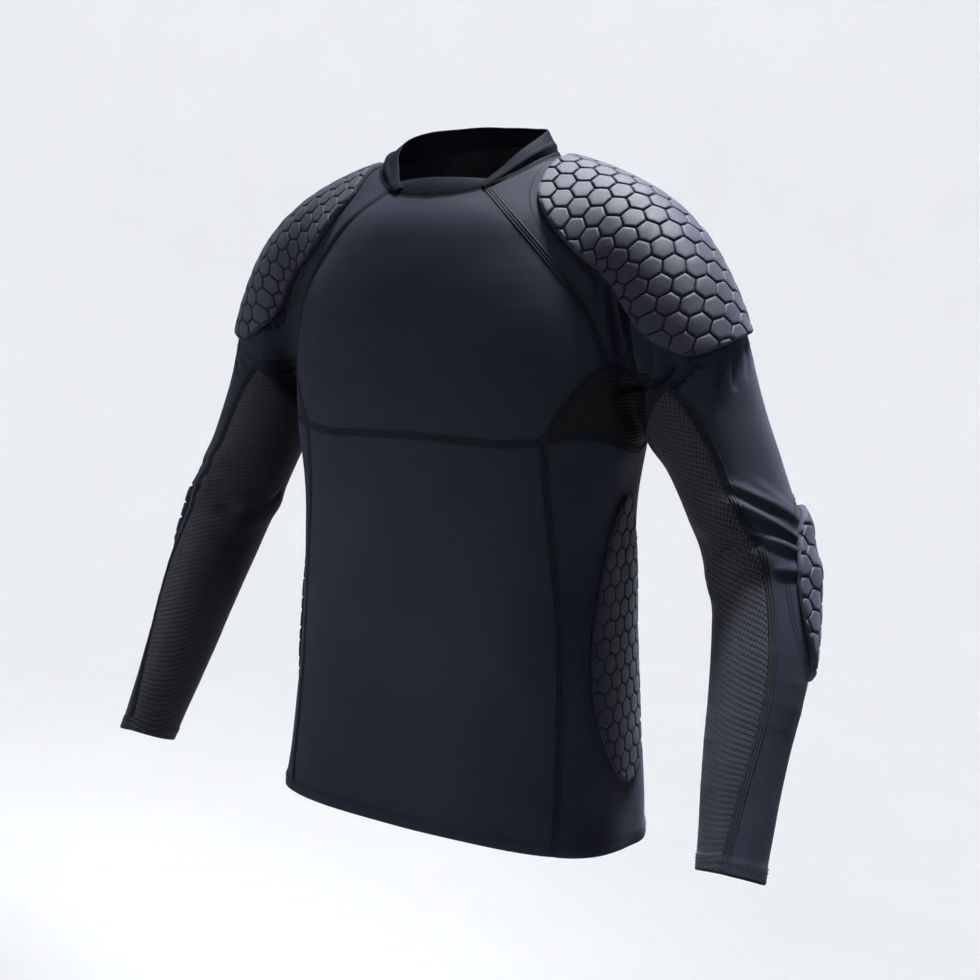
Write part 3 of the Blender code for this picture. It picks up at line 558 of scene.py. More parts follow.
class ShirtCloth(bpy.types.PropertyGroup):
    """The cloth's sizes and colours."""

    thickness: FloatProperty(name="Thickness", description="Thickness of the cloth", default=0.0012,
                             min=0.0004, max=0.0014, unit="LENGTH")
    crease_depth: FloatProperty(name="Crease depth", description="How deep the creases are, 1 as worn",
                                default=1.0, min=0.0, max=1.5, subtype="FACTOR")
    knit_colour: FloatVectorProperty(name="Stretch knit", description="Colour of the smooth stretch knit",
                                     default=(0.0042, 0.0050, 0.0078), min=0, max=1, subtype="COLOR")
    mesh_colour: FloatVectorProperty(name="Mesh knit", description="Colour of the open mesh knit",
                                     default=(0.0042, 0.0047, 0.0059), min=0, max=1, subtype="COLOR")
    mesh_pitch: FloatProperty(name="Mesh pitch", description="From one mesh hole to the next in a row",
                              default=0.0046, min=0.002, max=0.01, unit="LENGTH")
    hem_depth: FloatProperty(name="Hem depth", description="How far the turned hem reaches up",
                             default=0.013, min=0.004, max=0.03, unit="LENGTH")


class ShirtPads(bpy.types.PropertyGroup):
    """The foam pads' sizes and colours."""

    dome: FloatProperty(name="Cell dome", description="How much higher a foam cell is at its middle",
                        default=0.0003, min=0.0, max=0.002, unit="LENGTH")
    groove: FloatProperty(name="Groove", description="Half the width of the groove between two cells",
                          default=0.0008, min=0.0003, max=0.003, unit="LENGTH")
    shoulder_colour: FloatVectorProperty(name="Thick pad cover", description="Colour of the thick pads",
                                         default=(0.0096, 0.0102, 0.0152), min=0, max=1, subtype="COLOR")
    rib_colour: FloatVectorProperty(name="Rib cover", description="Colour of the thin pads over the ribs",
                                    default=(0.0042, 0.0050, 0.0082), min=0, max=1, subtype="COLOR")


class ShirtSeams(bpy.types.PropertyGroup):
    """The sewing's sizes and colour."""

    band_width: FloatProperty(name="Seam width", description="Width of a flat seam's cover stitching",
                              default=0.0076, min=0.004, max=0.012, unit="LENGTH")
    ridge: FloatProperty(name="Ridge height", description="Height of the three thread ridges of a flat seam",
                         default=0.0009, min=0.0002, max=0.002, unit="LENGTH")
    stitch: FloatProperty(name="Stitch length", description="Length of one stitch with its gap",
                          default=0.0028, min=0.0015, max=0.005, unit="LENGTH")
    thread_colour: FloatVectorProperty(name="Thread", description="Colour of the sewing thread",
                                       default=(0.0026, 0.0031, 0.0052), min=0, max=1, subtype="COLOR")


class ShirtStage(bpy.types.PropertyGroup):
    """The floor, the lights and the camera."""

    floor_height: FloatProperty(name="Floor height", description="Height of the floor under the worn shirt",
                                default=-1.45, unit="LENGTH")
    top_power: FloatProperty(name="Top light", description="Power of the light above and behind",
                             default=30.0, min=0.0, unit="POWER")
    side_power: FloatProperty(name="Side light", description="Power of the light on the right",
                              default=2.6, min=0.0, unit="POWER")
    front_power: FloatProperty(name="Front light", description="Power of the light on the left",
                               default=2.3, min=0.0, unit="POWER")
    lens: FloatProperty(name="Lens", description="Focal length for a 36 mm wide picture",
                        default=47.39, min=10, max=200, unit="CAMERA")
    distance: FloatProperty(name="Camera distance", description="From the camera to the point it looks at",
                            default=CAMERA_DISTANCE, min=0.5, max=5.0, unit="LENGTH")
    turn: FloatProperty(name="Camera turn", description="How far round the shirt the camera stands",
                        default=CAMERA_TURN, subtype="ANGLE")
    rise: FloatProperty(name="Camera rise", description="How far above the shirt's middle it looks from",
                        default=CAMERA_RISE, subtype="ANGLE")


def spline(table, count):
    """Points on a smooth curve through the table's rows, evenly spaced along it."""
    rows = np.asarray(table, float)
    last = len(rows) - 1
    ends = np.vstack([2 * rows[0] - rows[1], rows, 2 * rows[-1] - rows[-2]])
    fine = []
    for where in np.linspace(0, last, 40 * last + 1):
        k = min(int(where), last - 1)
        f = where - k
        a, b, c, d = ends[k:k + 4]
        fine.append(0.5 * (2 * b + (c - a) * f + (2 * a - 5 * b + 4 * c - d) * f * f
                           + (3 * b - a - 3 * c + d) * f ** 3))
    return even(np.array(fine), count)


def lengths(line):
    """How far along its line each point is, in metres."""
    return np.concatenate([[0.0], np.cumsum(np.linalg.norm(np.diff(line[:, :3], axis=0), axis=1))])


def along(line):
    """How far along its line each point is, from 0 to 1."""
    run = lengths(line)
    return run / run[-1]


def even(points, count):
    """The same line cut into count equal steps."""
    run = lengths(points)
    want = np.linspace(0, run[-1], count + 1)
    return np.stack([np.interp(want, run, points[:, k]) for k in range(points.shape[1])], 1)


TORSO_ROWS = spline(TORSO, 70)[::-1]
ARM_ROWS = spline(ARM, 40)
NECK_ROWS = spline(NECK, 8)
FAR_OFF = 0.2


def smooth_least(a, b, k):
    """The lesser of two distances, with the corner between them rounded."""
    h = np.clip(0.5 + 0.5 * (b - a) / k, 0, 1)
    return b * (1 - h) + a * h - k * h * (1 - h)


def from_string(p, rows, near):
    """Distance to a string of balls, worked out only for the points that are near it."""
    found = np.full(len(p), FAR_OFF)
    q = p[near]
    if len(q):
        a = rows[:-1]
        step = rows[1:, :3] - a[:, :3]
        t = np.clip((q @ step.T - (a[:, :3] * step).sum(1)) / (step * step).sum(1), 0, 1)
        reach = np.zeros_like(t)
        for k in range(3):
            reach += (q[:, k, None] - a[:, k] - t * step[:, k]) ** 2
        found[near] = (np.sqrt(reach) - a[:, 3] - t * (rows[1:, 3] - a[:, 3])).min(1)
    return found


def folds(p):
    """How far the largest folds lift the cloth, alike on both sides."""
    lift = np.zeros(len(p))
    for x0, y0, z0, x1, y1, z1, width, height in FOLDS:
        a = np.array((x0, y0, z0))
        run = np.array((x1, y1, z1)) - a
        t = ((p - a) @ run) / (run @ run)
        off = np.linalg.norm(p - a - np.clip(t, 0, 1)[:, None] * run, axis=1)
        lift += height * np.exp(-(off / width) ** 2)
    return lift


def figure(points):
    """Less than 0 inside the general figure that gives the shirt its worn shape."""
    p = np.stack([np.abs(points[:, 0]), points[:, 1], points[:, 2]], 1)
    x, z = p[:, 0], p[:, 2]
    half_width, half_depth, middle, square = (np.interp(z, TORSO_ROWS[:, 0], TORSO_ROWS[:, k])
                                              for k in (1, 2, 3, 4))
    y = np.abs(p[:, 1] - middle)
    q = ((x / half_width) ** square + (y / half_depth) ** square + 1e-12) ** (1 / square)
    body = np.sqrt(x * x + y * y) * (1 - 1 / np.maximum(q, 0.05))
    body = -smooth_least(-body, FLANK_TOP - z, 0.05)
    body = smooth_least(body, from_string(p, NECK_ROWS, z > -0.21), 0.03)
    arm = from_string(p, ARM_ROWS, (z > -0.33) | (x > 0.205))
    return smooth_least(body, arm, SQUEEZE) - folds(p)


def slope(p, e=0.0006):
    """The figure's gradient."""
    return np.stack([figure(p + e * v) - figure(p - e * v) for v in np.eye(3)], 1) / (2 * e)


def normals(p):
    """Outward directions at points on the figure."""
    shape = p.shape
    g = slope(p.reshape(-1, 3), 0.003)
    return (g / np.linalg.norm(g, axis=1)[:, None]).reshape(shape)


def settle(points, turns=9):
    """Points moved the short way onto the figure."""
    shape = np.shape(points)
    p = np.array(points, float).reshape(-1, 3)
    for _ in range(turns):
        g = slope(p)
        move = (figure(p) / np.maximum((g * g).sum(1), 0.3))[:, None] * g
        length = np.linalg.norm(move, axis=1)[:, None]
        p -= move * np.minimum(1, 0.02 / np.maximum(length, 1e-9))
    return p.reshape(shape)


def seam(table, count):
    """A seam line on the figure, evenly stepped, with its ends where the table has them."""
    fine = settle(spline(table, max(count, 24)))
    return settle(even(fine, count), 3)


def join(*lines):
    """Seams laid end to end."""
    return np.vstack([lines[0]] + [line[1:] for line in lines[1:]])


def mirror(points):
    """The same points on the other side of the shirt."""
    return points * np.array((-1.0, 1.0, 1.0))


def both_halves(line):
    """A line from the middle outward, run on over the middle to the other side."""
    return join(mirror(line[::-1]), line)


def unit(v):
    return v / np.maximum(np.linalg.norm(v, axis=-1, keepdims=True), 1e-12)


def patch(left, right, top, bottom):
    """A four-sided grid laid on the figure, between seams that share their corners."""
    v = (0.5 * (along(left) + along(right)))[:, None, None]
    u = (0.5 * (along(top) + along(bottom)))[None, :, None]
    grid = ((1 - u) * left[:, None] + u * right[:, None] + (1 - v) * top[None] + v * bottom[None]
            - (1 - u) * (1 - v) * top[0] - u * (1 - v) * top[-1]
            - (1 - u) * v * bottom[0] - u * v * bottom[-1])
    grid[1:-1, 1:-1] = settle(grid[1:-1, 1:-1], 6)
    return grid


def tube_rows(front, middle, back, top, bottom):
    """A grid round part of a sleeve: each row bends over its middle point from seam to seam."""
    rows, cols = len(front), len(top)
    halfway = 0.5 * (front + back)
    hub = halfway - 0.25 * (middle - halfway)
    spoke_a, spoke_m, spoke_b = front - hub, middle - hub, back - hub
    n = unit(np.cross(spoke_a, spoke_b))
    e1 = unit(spoke_m - (spoke_m * n).sum(1)[:, None] * n)
    e2 = np.cross(n, e1)
    turn_a, turn_b = (np.arctan2((s * e2).sum(1), (s * e1).sum(1)) for s in (spoke_a, spoke_b))
    part = np.linspace(0, 1, 33)
    turn = turn_a[:, None] + (turn_b - turn_a)[:, None] * part
    size_a, size_m, size_b = (np.linalg.norm(s, axis=1)[:, None] for s in (spoke_a, spoke_m, spoke_b))
    far = size_a * (1 - part) + size_b * part
    far += (size_m - 0.5 * (size_a + size_b)) * np.sin(math.pi * part)
    ray = np.cos(turn)[..., None] * e1[:, None] + np.sin(turn)[..., None] * e2[:, None]
    for _ in range(9):
        p = hub[:, None] + ray * far[..., None]
        rate = np.maximum((slope(p.reshape(-1, 3)).reshape(ray.shape) * ray).sum(2), 0.35)
        far -= np.clip(figure(p.reshape(-1, 3)).reshape(far.shape) / rate, -0.012, 0.012)
    p = hub[:, None] + ray * far[..., None]
    grid = np.stack([even(row, cols - 1) for row in p])
    grid[:, 0], grid[:, -1], grid[0], grid[-1] = front, back, top, bottom
    grid[1:-1, 1:-1] = settle(grid[1:-1, 1:-1], 3)
    return grid


@functools.lru_cache(maxsize=None)
def seam_lines():
    """Every seam of the left half, by name."""
    n = STEPS
    lines = {
        "neck_front": seam(NECK_FRONT, n["neck_front"]), "neck_side": seam(NECK_SIDE, n["neck_side"]),
        "neck_back": seam(NECK_BACK, n["neck_back"]), "raglan_front": seam(RAGLAN_FRONT, n["raglan"]),
        "raglan_back": seam(RAGLAN_BACK, n["raglan"]), "gusset_front": seam(GUSSET_FRONT, n["gusset_edge"]),
        "gusset_back": seam(GUSSET_BACK, n["gusset_edge"]), "gusset_low": seam(GUSSET_LOW, n["gusset_low"]),
        "armhole_front": seam(ARMHOLE_FRONT, n["armhole"]), "armhole_back": seam(ARMHOLE_BACK, n["armhole"]),
        "mesh_top": seam(MESH_TOP, n["mesh_top"]), "sleeve_front": seam(SLEEVE_FRONT, n["sleeve"]),
        "sleeve_back": seam(SLEEVE_BACK, n["sleeve"]), "chest_seam": seam(CHEST_SEAM, n["chest"]),
        "princess": seam(PRINCESS, n["princess"]), "back_seam": seam(BACK_SEAM, n["princess"]),
        "hem_front": seam(HEM_FRONT, n["chest"]), "hem_side": seam(HEM_SIDE, n["gusset_low"]),
        "hem_back": seam(HEM_BACK, n["neck_back"]),
    }
    for name, table, across, count in (("cuff_out", SHOULDER_LINE, lines["neck_side"], 200),
                                       ("cuff_in", UNDERARM_LINE, lines["mesh_top"], 200)):
        end = settle(spline(table, count))[-1]
        lines[name] = seam((lines["sleeve_front"][-1], end, lines["sleeve_back"][-1]), len(across) - 1)
    return lines


def middle_line(table, edge):
    """A sleeve's middle line, stepped as its edge seam is."""
    line = settle(spline(table, 200))
    run, part = along(line), along(edge)
    return np.stack([np.interp(part, run, line[:, k]) for k in range(3)], 1)


@functools.lru_cache(maxsize=None)
def cloth_grids():
    """The cloth pieces on the figure: those across the middle, and those of the left half."""
    s = seam_lines()
    grids = {}
    side = join(s["raglan_front"], s["gusset_front"])
    grids["chest"] = patch(mirror(side), side, both_halves(s["neck_front"]), both_halves(s["chest_seam"]))
    grids["belly"] = patch(mirror(s["princess"]), s["princess"], both_halves(s["chest_seam"]),
                           both_halves(s["hem_front"]))
    side = join(s["raglan_back"], s["gusset_back"], s["back_seam"])
    grids["back"] = patch(side, mirror(side), both_halves(s["neck_back"][::-1])[::-1],
                          both_halves(s["hem_back"][::-1])[::-1])
    grids["side"] = patch(s["princess"], s["back_seam"], s["gusset_low"], s["hem_side"])
    top = join(s["armhole_front"], s["mesh_top"], s["armhole_back"][::-1])
    grids["gusset"] = patch(s["gusset_front"], s["gusset_back"], top, s["gusset_low"])
    front = join(s["raglan_front"], s["armhole_front"], s["sleeve_front"])
    back = join(s["raglan_back"], s["armhole_back"], s["sleeve_back"])
    grids["sleeve_outer"] = tube_rows(front, middle_line(SHOULDER_LINE, front), back, s["neck_side"],
                                      s["cuff_out"])
    grids["sleeve_inner"] = tube_rows(s["sleeve_front"], middle_line(UNDERARM_LINE, s["sleeve_front"]),
                                      s["sleeve_back"], s["mesh_top"], s["cuff_in"])
    return grids


def on_cloth(place):
    """Where the photo's line of sight through a place in it meets the cloth, to the millimetre."""
    back = np.array((math.sin(CAMERA_TURN) * math.cos(CAMERA_RISE),
                     -math.cos(CAMERA_TURN) * math.cos(CAMERA_RISE), math.sin(CAMERA_RISE)))
    across = np.array((math.cos(CAMERA_TURN), math.sin(CAMERA_TURN), 0.0))
    eye = across * AIM_ACROSS + np.array((0.0, 0.0, AIM_HEIGHT)) + back * CAMERA_DISTANCE
    sight = unit(across * (place[0] - PHOTO_MIDDLE) - np.cross(back, across) * (place[1] - PHOTO_MIDDLE)
                 - back * PHOTO_FOCAL)
    far = SIGHT_START
    for _ in range(SIGHT_TURNS):
        gap = float(figure((eye + sight * far)[None])[0]) - WALL
        if gap < SIGHT_CLOSE:
            break
        far += max(SIGHT_SHARE * gap, SIGHT_LEAST)
    return np.round(eye + sight * far, 3)


@functools.lru_cache(maxsize=None)
def crease_lines():
    """The three points of each crease, its half width and its height."""
    return [(*(on_cloth(p) if len(p) == 2 else np.array(p) for p in points), width, height)
            for *points, width, height in CREASES]


def creases(p):
    """How far the creases lift the cloth at each point, each side having its own."""
    shape = p.shape[:-1]
    p = p.reshape(-1, 3)
    lift = np.zeros(len(p))
    for a, m, b, width, height in crease_lines():
        reach = 0.5 * np.linalg.norm(b - a) + 4 * width
        near = np.flatnonzero(((p - m) ** 2).sum(1) < reach * reach)
        if not len(near):
            continue
        t = np.linspace(0, 1, 9)[:, None]
        line = a * (1 - t) * (1 - 2 * t) + 4 * m * t * (1 - t) + b * t * (2 * t - 1)
        q = p[near]
        best, at = np.full(len(q), 1.0), np.zeros(len(q))
        for k in range(8):
            run = line[k + 1] - line[k]
            f = np.clip(((q - line[k]) @ run) / (run @ run), 0, 1)
            off = np.linalg.norm(q - line[k] - f[:, None] * run, axis=1)
            closer = off < best
            best[closer], at[closer] = off[closer], (k + f[closer]) / 8
        taper = 0.35 + 0.65 * np.sin(math.pi * np.clip(at, 0.0, 1.0)) ** 0.5
        lift[near] += height * taper * np.exp(-(best / (width * (0.75 + 0.35 * taper))) ** 2)
    depth = bpy.context.scene.shirt_cloth.crease_depth
    return (depth * (lift + ripples(p))).reshape(shape)


def ripples(p):
    """The slight unevenness that worn knit has between its creases."""
    x, y, z = p.T
    wide = np.sin(21 * x + 9 * z + 1.1) * np.sin(17 * y - 13 * z + 0.4)
    small = np.sin(63 * x - 41 * z + 2.0) * np.sin(57 * y + 71 * z + 0.9)
    return 0.00050 * wide + 0.00016 * small


def flat_map(grid):
    """Distances across and down a grid, in metres, for laying a pattern on it."""
    across = np.zeros(grid.shape[:2])
    across[:, 1:] = np.cumsum(np.linalg.norm(np.diff(grid, axis=1), axis=2), axis=1)
    across -= across[:, [grid.shape[1] // 2]]
    down = np.zeros(grid.shape[:2])
    down[1:] = np.cumsum(np.linalg.norm(np.diff(grid, axis=0), axis=2), axis=0)
    return np.stack([across, down], 2)


def new_piece(name, verts, faces, flat=None):
    """A smooth-shaded object at the origin, with its flat sizes as a UV map."""
    mesh = bpy.data.meshes.new(name)
    mesh.from_pydata(np.asarray(verts).tolist(), [], [list(f) for f in faces])
    if flat is not None:
        corner = np.zeros(len(mesh.loops), np.int32)
        mesh.loops.foreach_get("vertex_index", corner)
        layer = mesh.uv_layers.new(name="flat")
        layer.data.foreach_set("uv", np.asarray(flat, np.float32)[corner].ravel())
    mesh.polygons.foreach_set("use_smooth", np.ones(len(mesh.polygons), bool))
    mesh.update()
    obj = bpy.data.objects.new(name, mesh)
    bpy.context.scene.collection.objects.link(obj)
    return obj


def finish_piece(obj, slot, material, *nodes):
    """The piece rides on the one body, takes its finish and stands for its solids."""
    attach(obj, "root")
    if nodes:
        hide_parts(*nodes)
    obj.data.materials.append(material)


def closed_wall(outer, inner, flat):
    """Vertices, faces and flat sizes of a closed wall between two grids, with rounded edges."""
    rows, cols = outer.shape[:2]
    half = rows * cols
    rim = [(0, j) for j in range(cols)] + [(i, cols - 1) for i in range(1, rows)]
    rim += [(rows - 1, j) for j in range(cols - 2, -1, -1)] + [(i, 0) for i in range(rows - 2, 0, -1)]
    rim = np.array(rim)
    inward = np.clip(rim, 1, (rows - 2, cols - 2))
    edge = 0.5 * (outer + inner)[rim[:, 0], rim[:, 1]]
    out = unit(edge - 0.5 * (outer + inner)[inward[:, 0], inward[:, 1]])
    bulge = 0.5 * np.linalg.norm((outer - inner)[rim[:, 0], rim[:, 1]], axis=1)[:, None]
    verts = np.vstack([outer.reshape(-1, 3), inner.reshape(-1, 3), edge + bulge * out])
    k = np.arange(half).reshape(rows, cols)
    quads = np.stack([k[:-1, :-1], k[:-1, 1:], k[1:, 1:], k[1:, :-1]], 2).reshape(-1, 4)
    turn = np.cross(outer[:-1, 1:] - outer[:-1, :-1], outer[1:, :-1] - outer[:-1, :-1])
    ring = rim[:, 0] * cols + rim[:, 1]
    last = 2 * half + np.arange(len(ring))
    if (turn * (outer - inner)[:-1, :-1]).sum() < 0:
        quads, ring, last = quads[:, ::-1], ring[::-1], last[::-1]
    after, last_after = np.roll(ring, -1), np.roll(last, -1)
    faces = np.vstack([quads, quads[:, ::-1] + half, np.stack([after, ring, last, last_after], 1),
                       np.stack([last_after, last, ring + half, after + half], 1)])
    flat = flat.reshape(-1, 2)
    return verts, faces, np.vstack([flat, flat, flat[rim[:, 0] * cols + rim[:, 1]]])


def hem_step(grid, hemmed):
    """How much thicker the cloth is where it is turned over at the bottom edge, if it is hemmed."""
    depth = bpy.context.scene.shirt_cloth.hem_depth
    run = lengths(grid[:, grid.shape[1] // 2])
    from_edge = run[-1] - run
    return hemmed * HEM_LIFT * np.clip((depth + 0.001 - from_edge) / 0.0015, 0, 1)[:, None, None]


class SHIRT_OT_cloth(bpy.types.Operator):
    """Lay the eleven cut pieces of cloth on the figure, creased as worn"""

    bl_idname = "shirt.cloth"
    bl_label = "Cloth pieces"

    def execute(self, context):
        knit, mesh_knit, ribbed = stretch_knit(), air_mesh(), gusset_mesh()
        finishes = {"chest": knit, "belly": knit, "back": mesh_knit, "side": knit, "gusset": ribbed,
                    "sleeve_outer": knit, "sleeve_inner": mesh_knit}
        slots = {"back": "air_mesh", "gusset": "air_mesh", "sleeve_inner": "air_mesh"}
        thick = context.scene.shirt_cloth.thickness
        for name, grid in cloth_grids().items():
            up = normals(grid)
            step = hem_step(grid, name not in ("chest", "gusset"))
            twin = name in ("side", "gusset", "sleeve_outer", "sleeve_inner")
            for end, turned, way in ((("_left", grid, up), ("_right", mirror(grid), mirror(up))) if twin
                                     else (("", grid, up),)):
                outer = turned + (WALL + creases(turned)[..., None] + step) * way
                inner = outer - (thick + step) * way
                verts, faces, flat = closed_wall(outer, inner, flat_map(grid))
                obj = new_piece(name + "_cloth" + end, verts, faces, flat)
                finish_piece(obj, slots.get(name, "stretch_knit"), finishes[name], name + end)
        return {"FINISHED"}


def collar_rows(low, high, roll):
    """A band standing on the neck seam, from its top edge down, a little bowed outward."""
    base = normals(low)
    t = np.linspace(0, 1, COLLAR_ROWS)[:, None, None]
    bow = 4 * t * (1 - t) * COLLAR_BOW + COLLAR_ROLL * roll[:, None] * (
        np.exp(-((t - 0.58) / 0.10) ** 2) - 1.5 * np.exp(-((t - 0.75) / 0.06) ** 2))
    rows = (1 - t) * high + t * low + bow * base
    up = unit(np.cross(np.gradient(rows, axis=0), np.gradient(rows, axis=1)))
    away = rows - np.array((0.0, NECK_MIDDLE, rows[..., 2].mean()))
    up = -up if (away * up).sum() < 0 else up
    return rows, unit(up * (1 - t * t) + base * t * t)


def above(table, low, count=120):
    """Points on the collar's top edge, one over each point of the seam that it stands on."""
    top = spline(table, count)
    run = along(top)
    return np.stack([np.interp(along(low), run, top[:, k]) for k in range(3)], 1)


def leaned(high, lean):
    """The collar's top edge as it is worn, moved a little on the right side."""
    share = 0.5 - 0.5 * np.sin(0.5 * math.pi * np.clip(high[:, :1] / 0.045, -1, 1))
    return high + share * np.array(lean)


class SHIRT_OT_collar(bpy.types.Operator):
    """Stand the two doubled collar bands on the neck seam, the long one's points lapped over the short one"""

    bl_idname = "shirt.collar"
    bl_label = "Collar"

    def execute(self, context):
        s = seam_lines()
        knit = collar_knit()
        low = s["neck_front"]
        high = above(COLLAR_TOP_FRONT, low)
        front = collar_rows(both_halves(low), leaned(both_halves(high), FRONT_LEAN),
                            np.zeros(2 * len(low) - 1))
        low = join(s["neck_side"], s["neck_back"])
        high = above(COLLAR_TOP_SIDE + COLLAR_TOP_BACK[1:], low)
        halves = []
        for steps in LAP_STEPS:
            lap = s["neck_front"][-1 - steps:-1]
            share = np.linspace(0.10, 1, steps + 1)[:-1, None]
            foot = np.vstack([lap, low])
            top = np.vstack([lap + share * (high[0] - low[0]), high])
            lapped = LAP_LIFT * np.exp(-np.maximum(along(foot) - 0.05, 0) / 0.05)
            roll = np.sin(math.pi * np.clip(along(foot) / 0.62, 0, 1)) ** 2
            halves.append((foot, top, roll, lapped))
        left, right = halves
        roll, lapped = (np.concatenate([left[k], right[k][::-1][1:]]) for k in (2, 3))
        band = collar_rows(join(left[0], mirror(right[0][::-1])),
                           leaned(join(left[1], mirror(right[1][::-1])), BAND_LEAN), roll)
        for name, (rows, up), off in (("collar_front", front, 0.0), ("collar_band", band, lapped[:, None])):
            outer = rows + (WALL + off + COLLAR_CREASES * creases(rows)[..., None]) * up
            verts, faces, flat = closed_wall(outer, outer - COLLAR_THICKNESS * up, flat_map(rows))
            obj = new_piece(name + "_cloth", verts, faces, flat)
            finish_piece(obj, "collar_knit", knit, name)
        return {"FINISHED"}


class Chart:
    """Flat sizes laid over the figure: along a middle line, and across it both ways."""

    def __init__(self, spine, reach):
        rough = settle(spline(spine, 120))
        length = lengths(rough)[-1]
        self.rows = int(round(length / CHART_ROW))
        line = settle(even(rough, self.rows), 4)
        self.pace = length / self.rows
        self.half = int(round(reach / CHART_STEP))
        side = unit(np.cross(normals(line), np.gradient(line, axis=0)))
        self.points = np.zeros((self.rows + 1, 2 * self.half + 1, 3))
        self.points[:, self.half] = line
        for sign in (-1, 1):
            p, way = line.copy(), sign * side
            for k in range(1, self.half + 1):
                p = settle(p + way * CHART_STEP, 3)
                n = normals(p)
                way = unit(way - (way * n).sum(1)[:, None] * n)
                self.points[:, self.half + sign * k] = p
        self.relax()

    def relax(self):
        """Even out the spacing, as foam that hardly stretches does when it is laid on a curved shape."""
        p = self.points
        rows, cols = p.shape[:2]
        slant = math.hypot(self.pace, CHART_STEP)
        for turn in range(CHART_TURNS):
            for di, dj, rest in ((1, 0, self.pace), (0, 1, CHART_STEP), (1, 1, slant), (1, -1, slant)):
                one = (slice(0, rows - di), slice(max(0, -dj), cols - max(0, dj)))
                two = (slice(di, rows), slice(max(0, dj), cols + min(0, dj)))
                gap = p[two] - p[one]
                length = np.maximum(np.linalg.norm(gap, axis=2, keepdims=True), 1e-9)
                move = CHART_PULL * (1 - rest / length) * gap
                p[one] += move
                p[two] -= move
            around = p[2:, 1:-1] + p[:-2, 1:-1] + p[1:-1, 2:] + p[1:-1, :-2]
            p[1:-1, 1:-1] += CHART_SMOOTH * (around - 4 * p[1:-1, 1:-1])
            if turn % 4 == 3:
                p[:] = settle(p, 1)
        p[:] = settle(p, 3)

    def at(self, uv):
        """Points on the figure, and the outward directions there."""
        uv = np.asarray(uv, float)
        a = np.clip(uv[:, 0] / CHART_STEP + self.half, 0, 2 * self.half - 0.001)
        b = np.clip(uv[:, 1] / self.pace, 0, self.rows - 0.001)
        i, j = b.astype(int), a.astype(int)
        f, g = (b - i)[:, None], (a - j)[:, None]
        p = self.points
        spot = ((1 - f) * ((1 - g) * p[i, j] + g * p[i, j + 1])
                + f * ((1 - g) * p[i + 1, j] + g * p[i + 1, j + 1]))
        spot = settle(spot, 3)
        return spot, normals(spot)


@functools.lru_cache(maxsize=None)
def pad_chart(name):
    for row in PADS:
        if row[0] == name:
            return Chart(row[1], row[3])
    raise KeyError(name)


def clip(cell, outline):
    """What of a cell lies inside a convex outline that runs anticlockwise."""
    for k in range(len(outline)):
        a, b = outline[k], outline[(k + 1) % len(outline)]
        kept = []
        for m in range(len(cell)):
            p, q = cell[m], cell[(m + 1) % len(cell)]
            sp, sq = ((b[0] - a[0]) * (s[1] - a[1]) - (b[1] - a[1]) * (s[0] - a[0]) for s in (p, q))
            if sp >= 0:
                kept.append(p)
            if (sp > 0 > sq) or (sp < 0 < sq):
                t = sp / (sp - sq)
                kept.append((p[0] + t * (q[0] - p[0]), p[1] + t * (q[1] - p[1])))
        cell = kept
        if len(cell) < 3:
            return []
    tidy = []
    for p in cell:
        if not tidy or math.dist(p, tidy[-1]) > WELD / 2:
            tidy.append(p)
    if len(tidy) > 1 and math.dist(tidy[0], tidy[-1]) <= WELD / 2:
        tidy.pop()
    return tidy if len(tidy) > 2 else []


def area_of(poly):
    return 0.5 * sum(p[0] * q[1] - q[0] * p[1] for p, q in zip(poly, poly[1:] + poly[:1]))


def honeycomb(outline, first_row, points_along):
    """Hexagon cells that fill the outline, with points or flats along it, cut off at its edge."""
    rows = np.array(outline + outline[:1])
    outline = [tuple(p) for p in spline(np.column_stack([rows, 0 * rows[:, 0]]), OUTLINE_POINTS)[:-1, :2]]
    if area_of(outline) < 0:
        outline = outline[::-1]
    radius = PITCH / math.sqrt(3)
    whole = 1.5 * radius * PITCH
    cells = []
    for row in CELL_ROWS:
        for col in CELL_COLUMNS:
            u, v = (col + 0.5 * (row % 2)) * PITCH, row * 1.5 * radius
            if not points_along:
                u, v = v, u
            first = 30 if points_along else 0
            cell = clip([(u + radius * math.cos(math.radians(first + 60 * k)),
                          first_row + v + radius * math.sin(math.radians(first + 60 * k)))
                         for k in range(6)], outline)
            if cell and area_of(cell) > 1e-9:
                cells.append((cell, area_of(cell) / whole))
    return cells


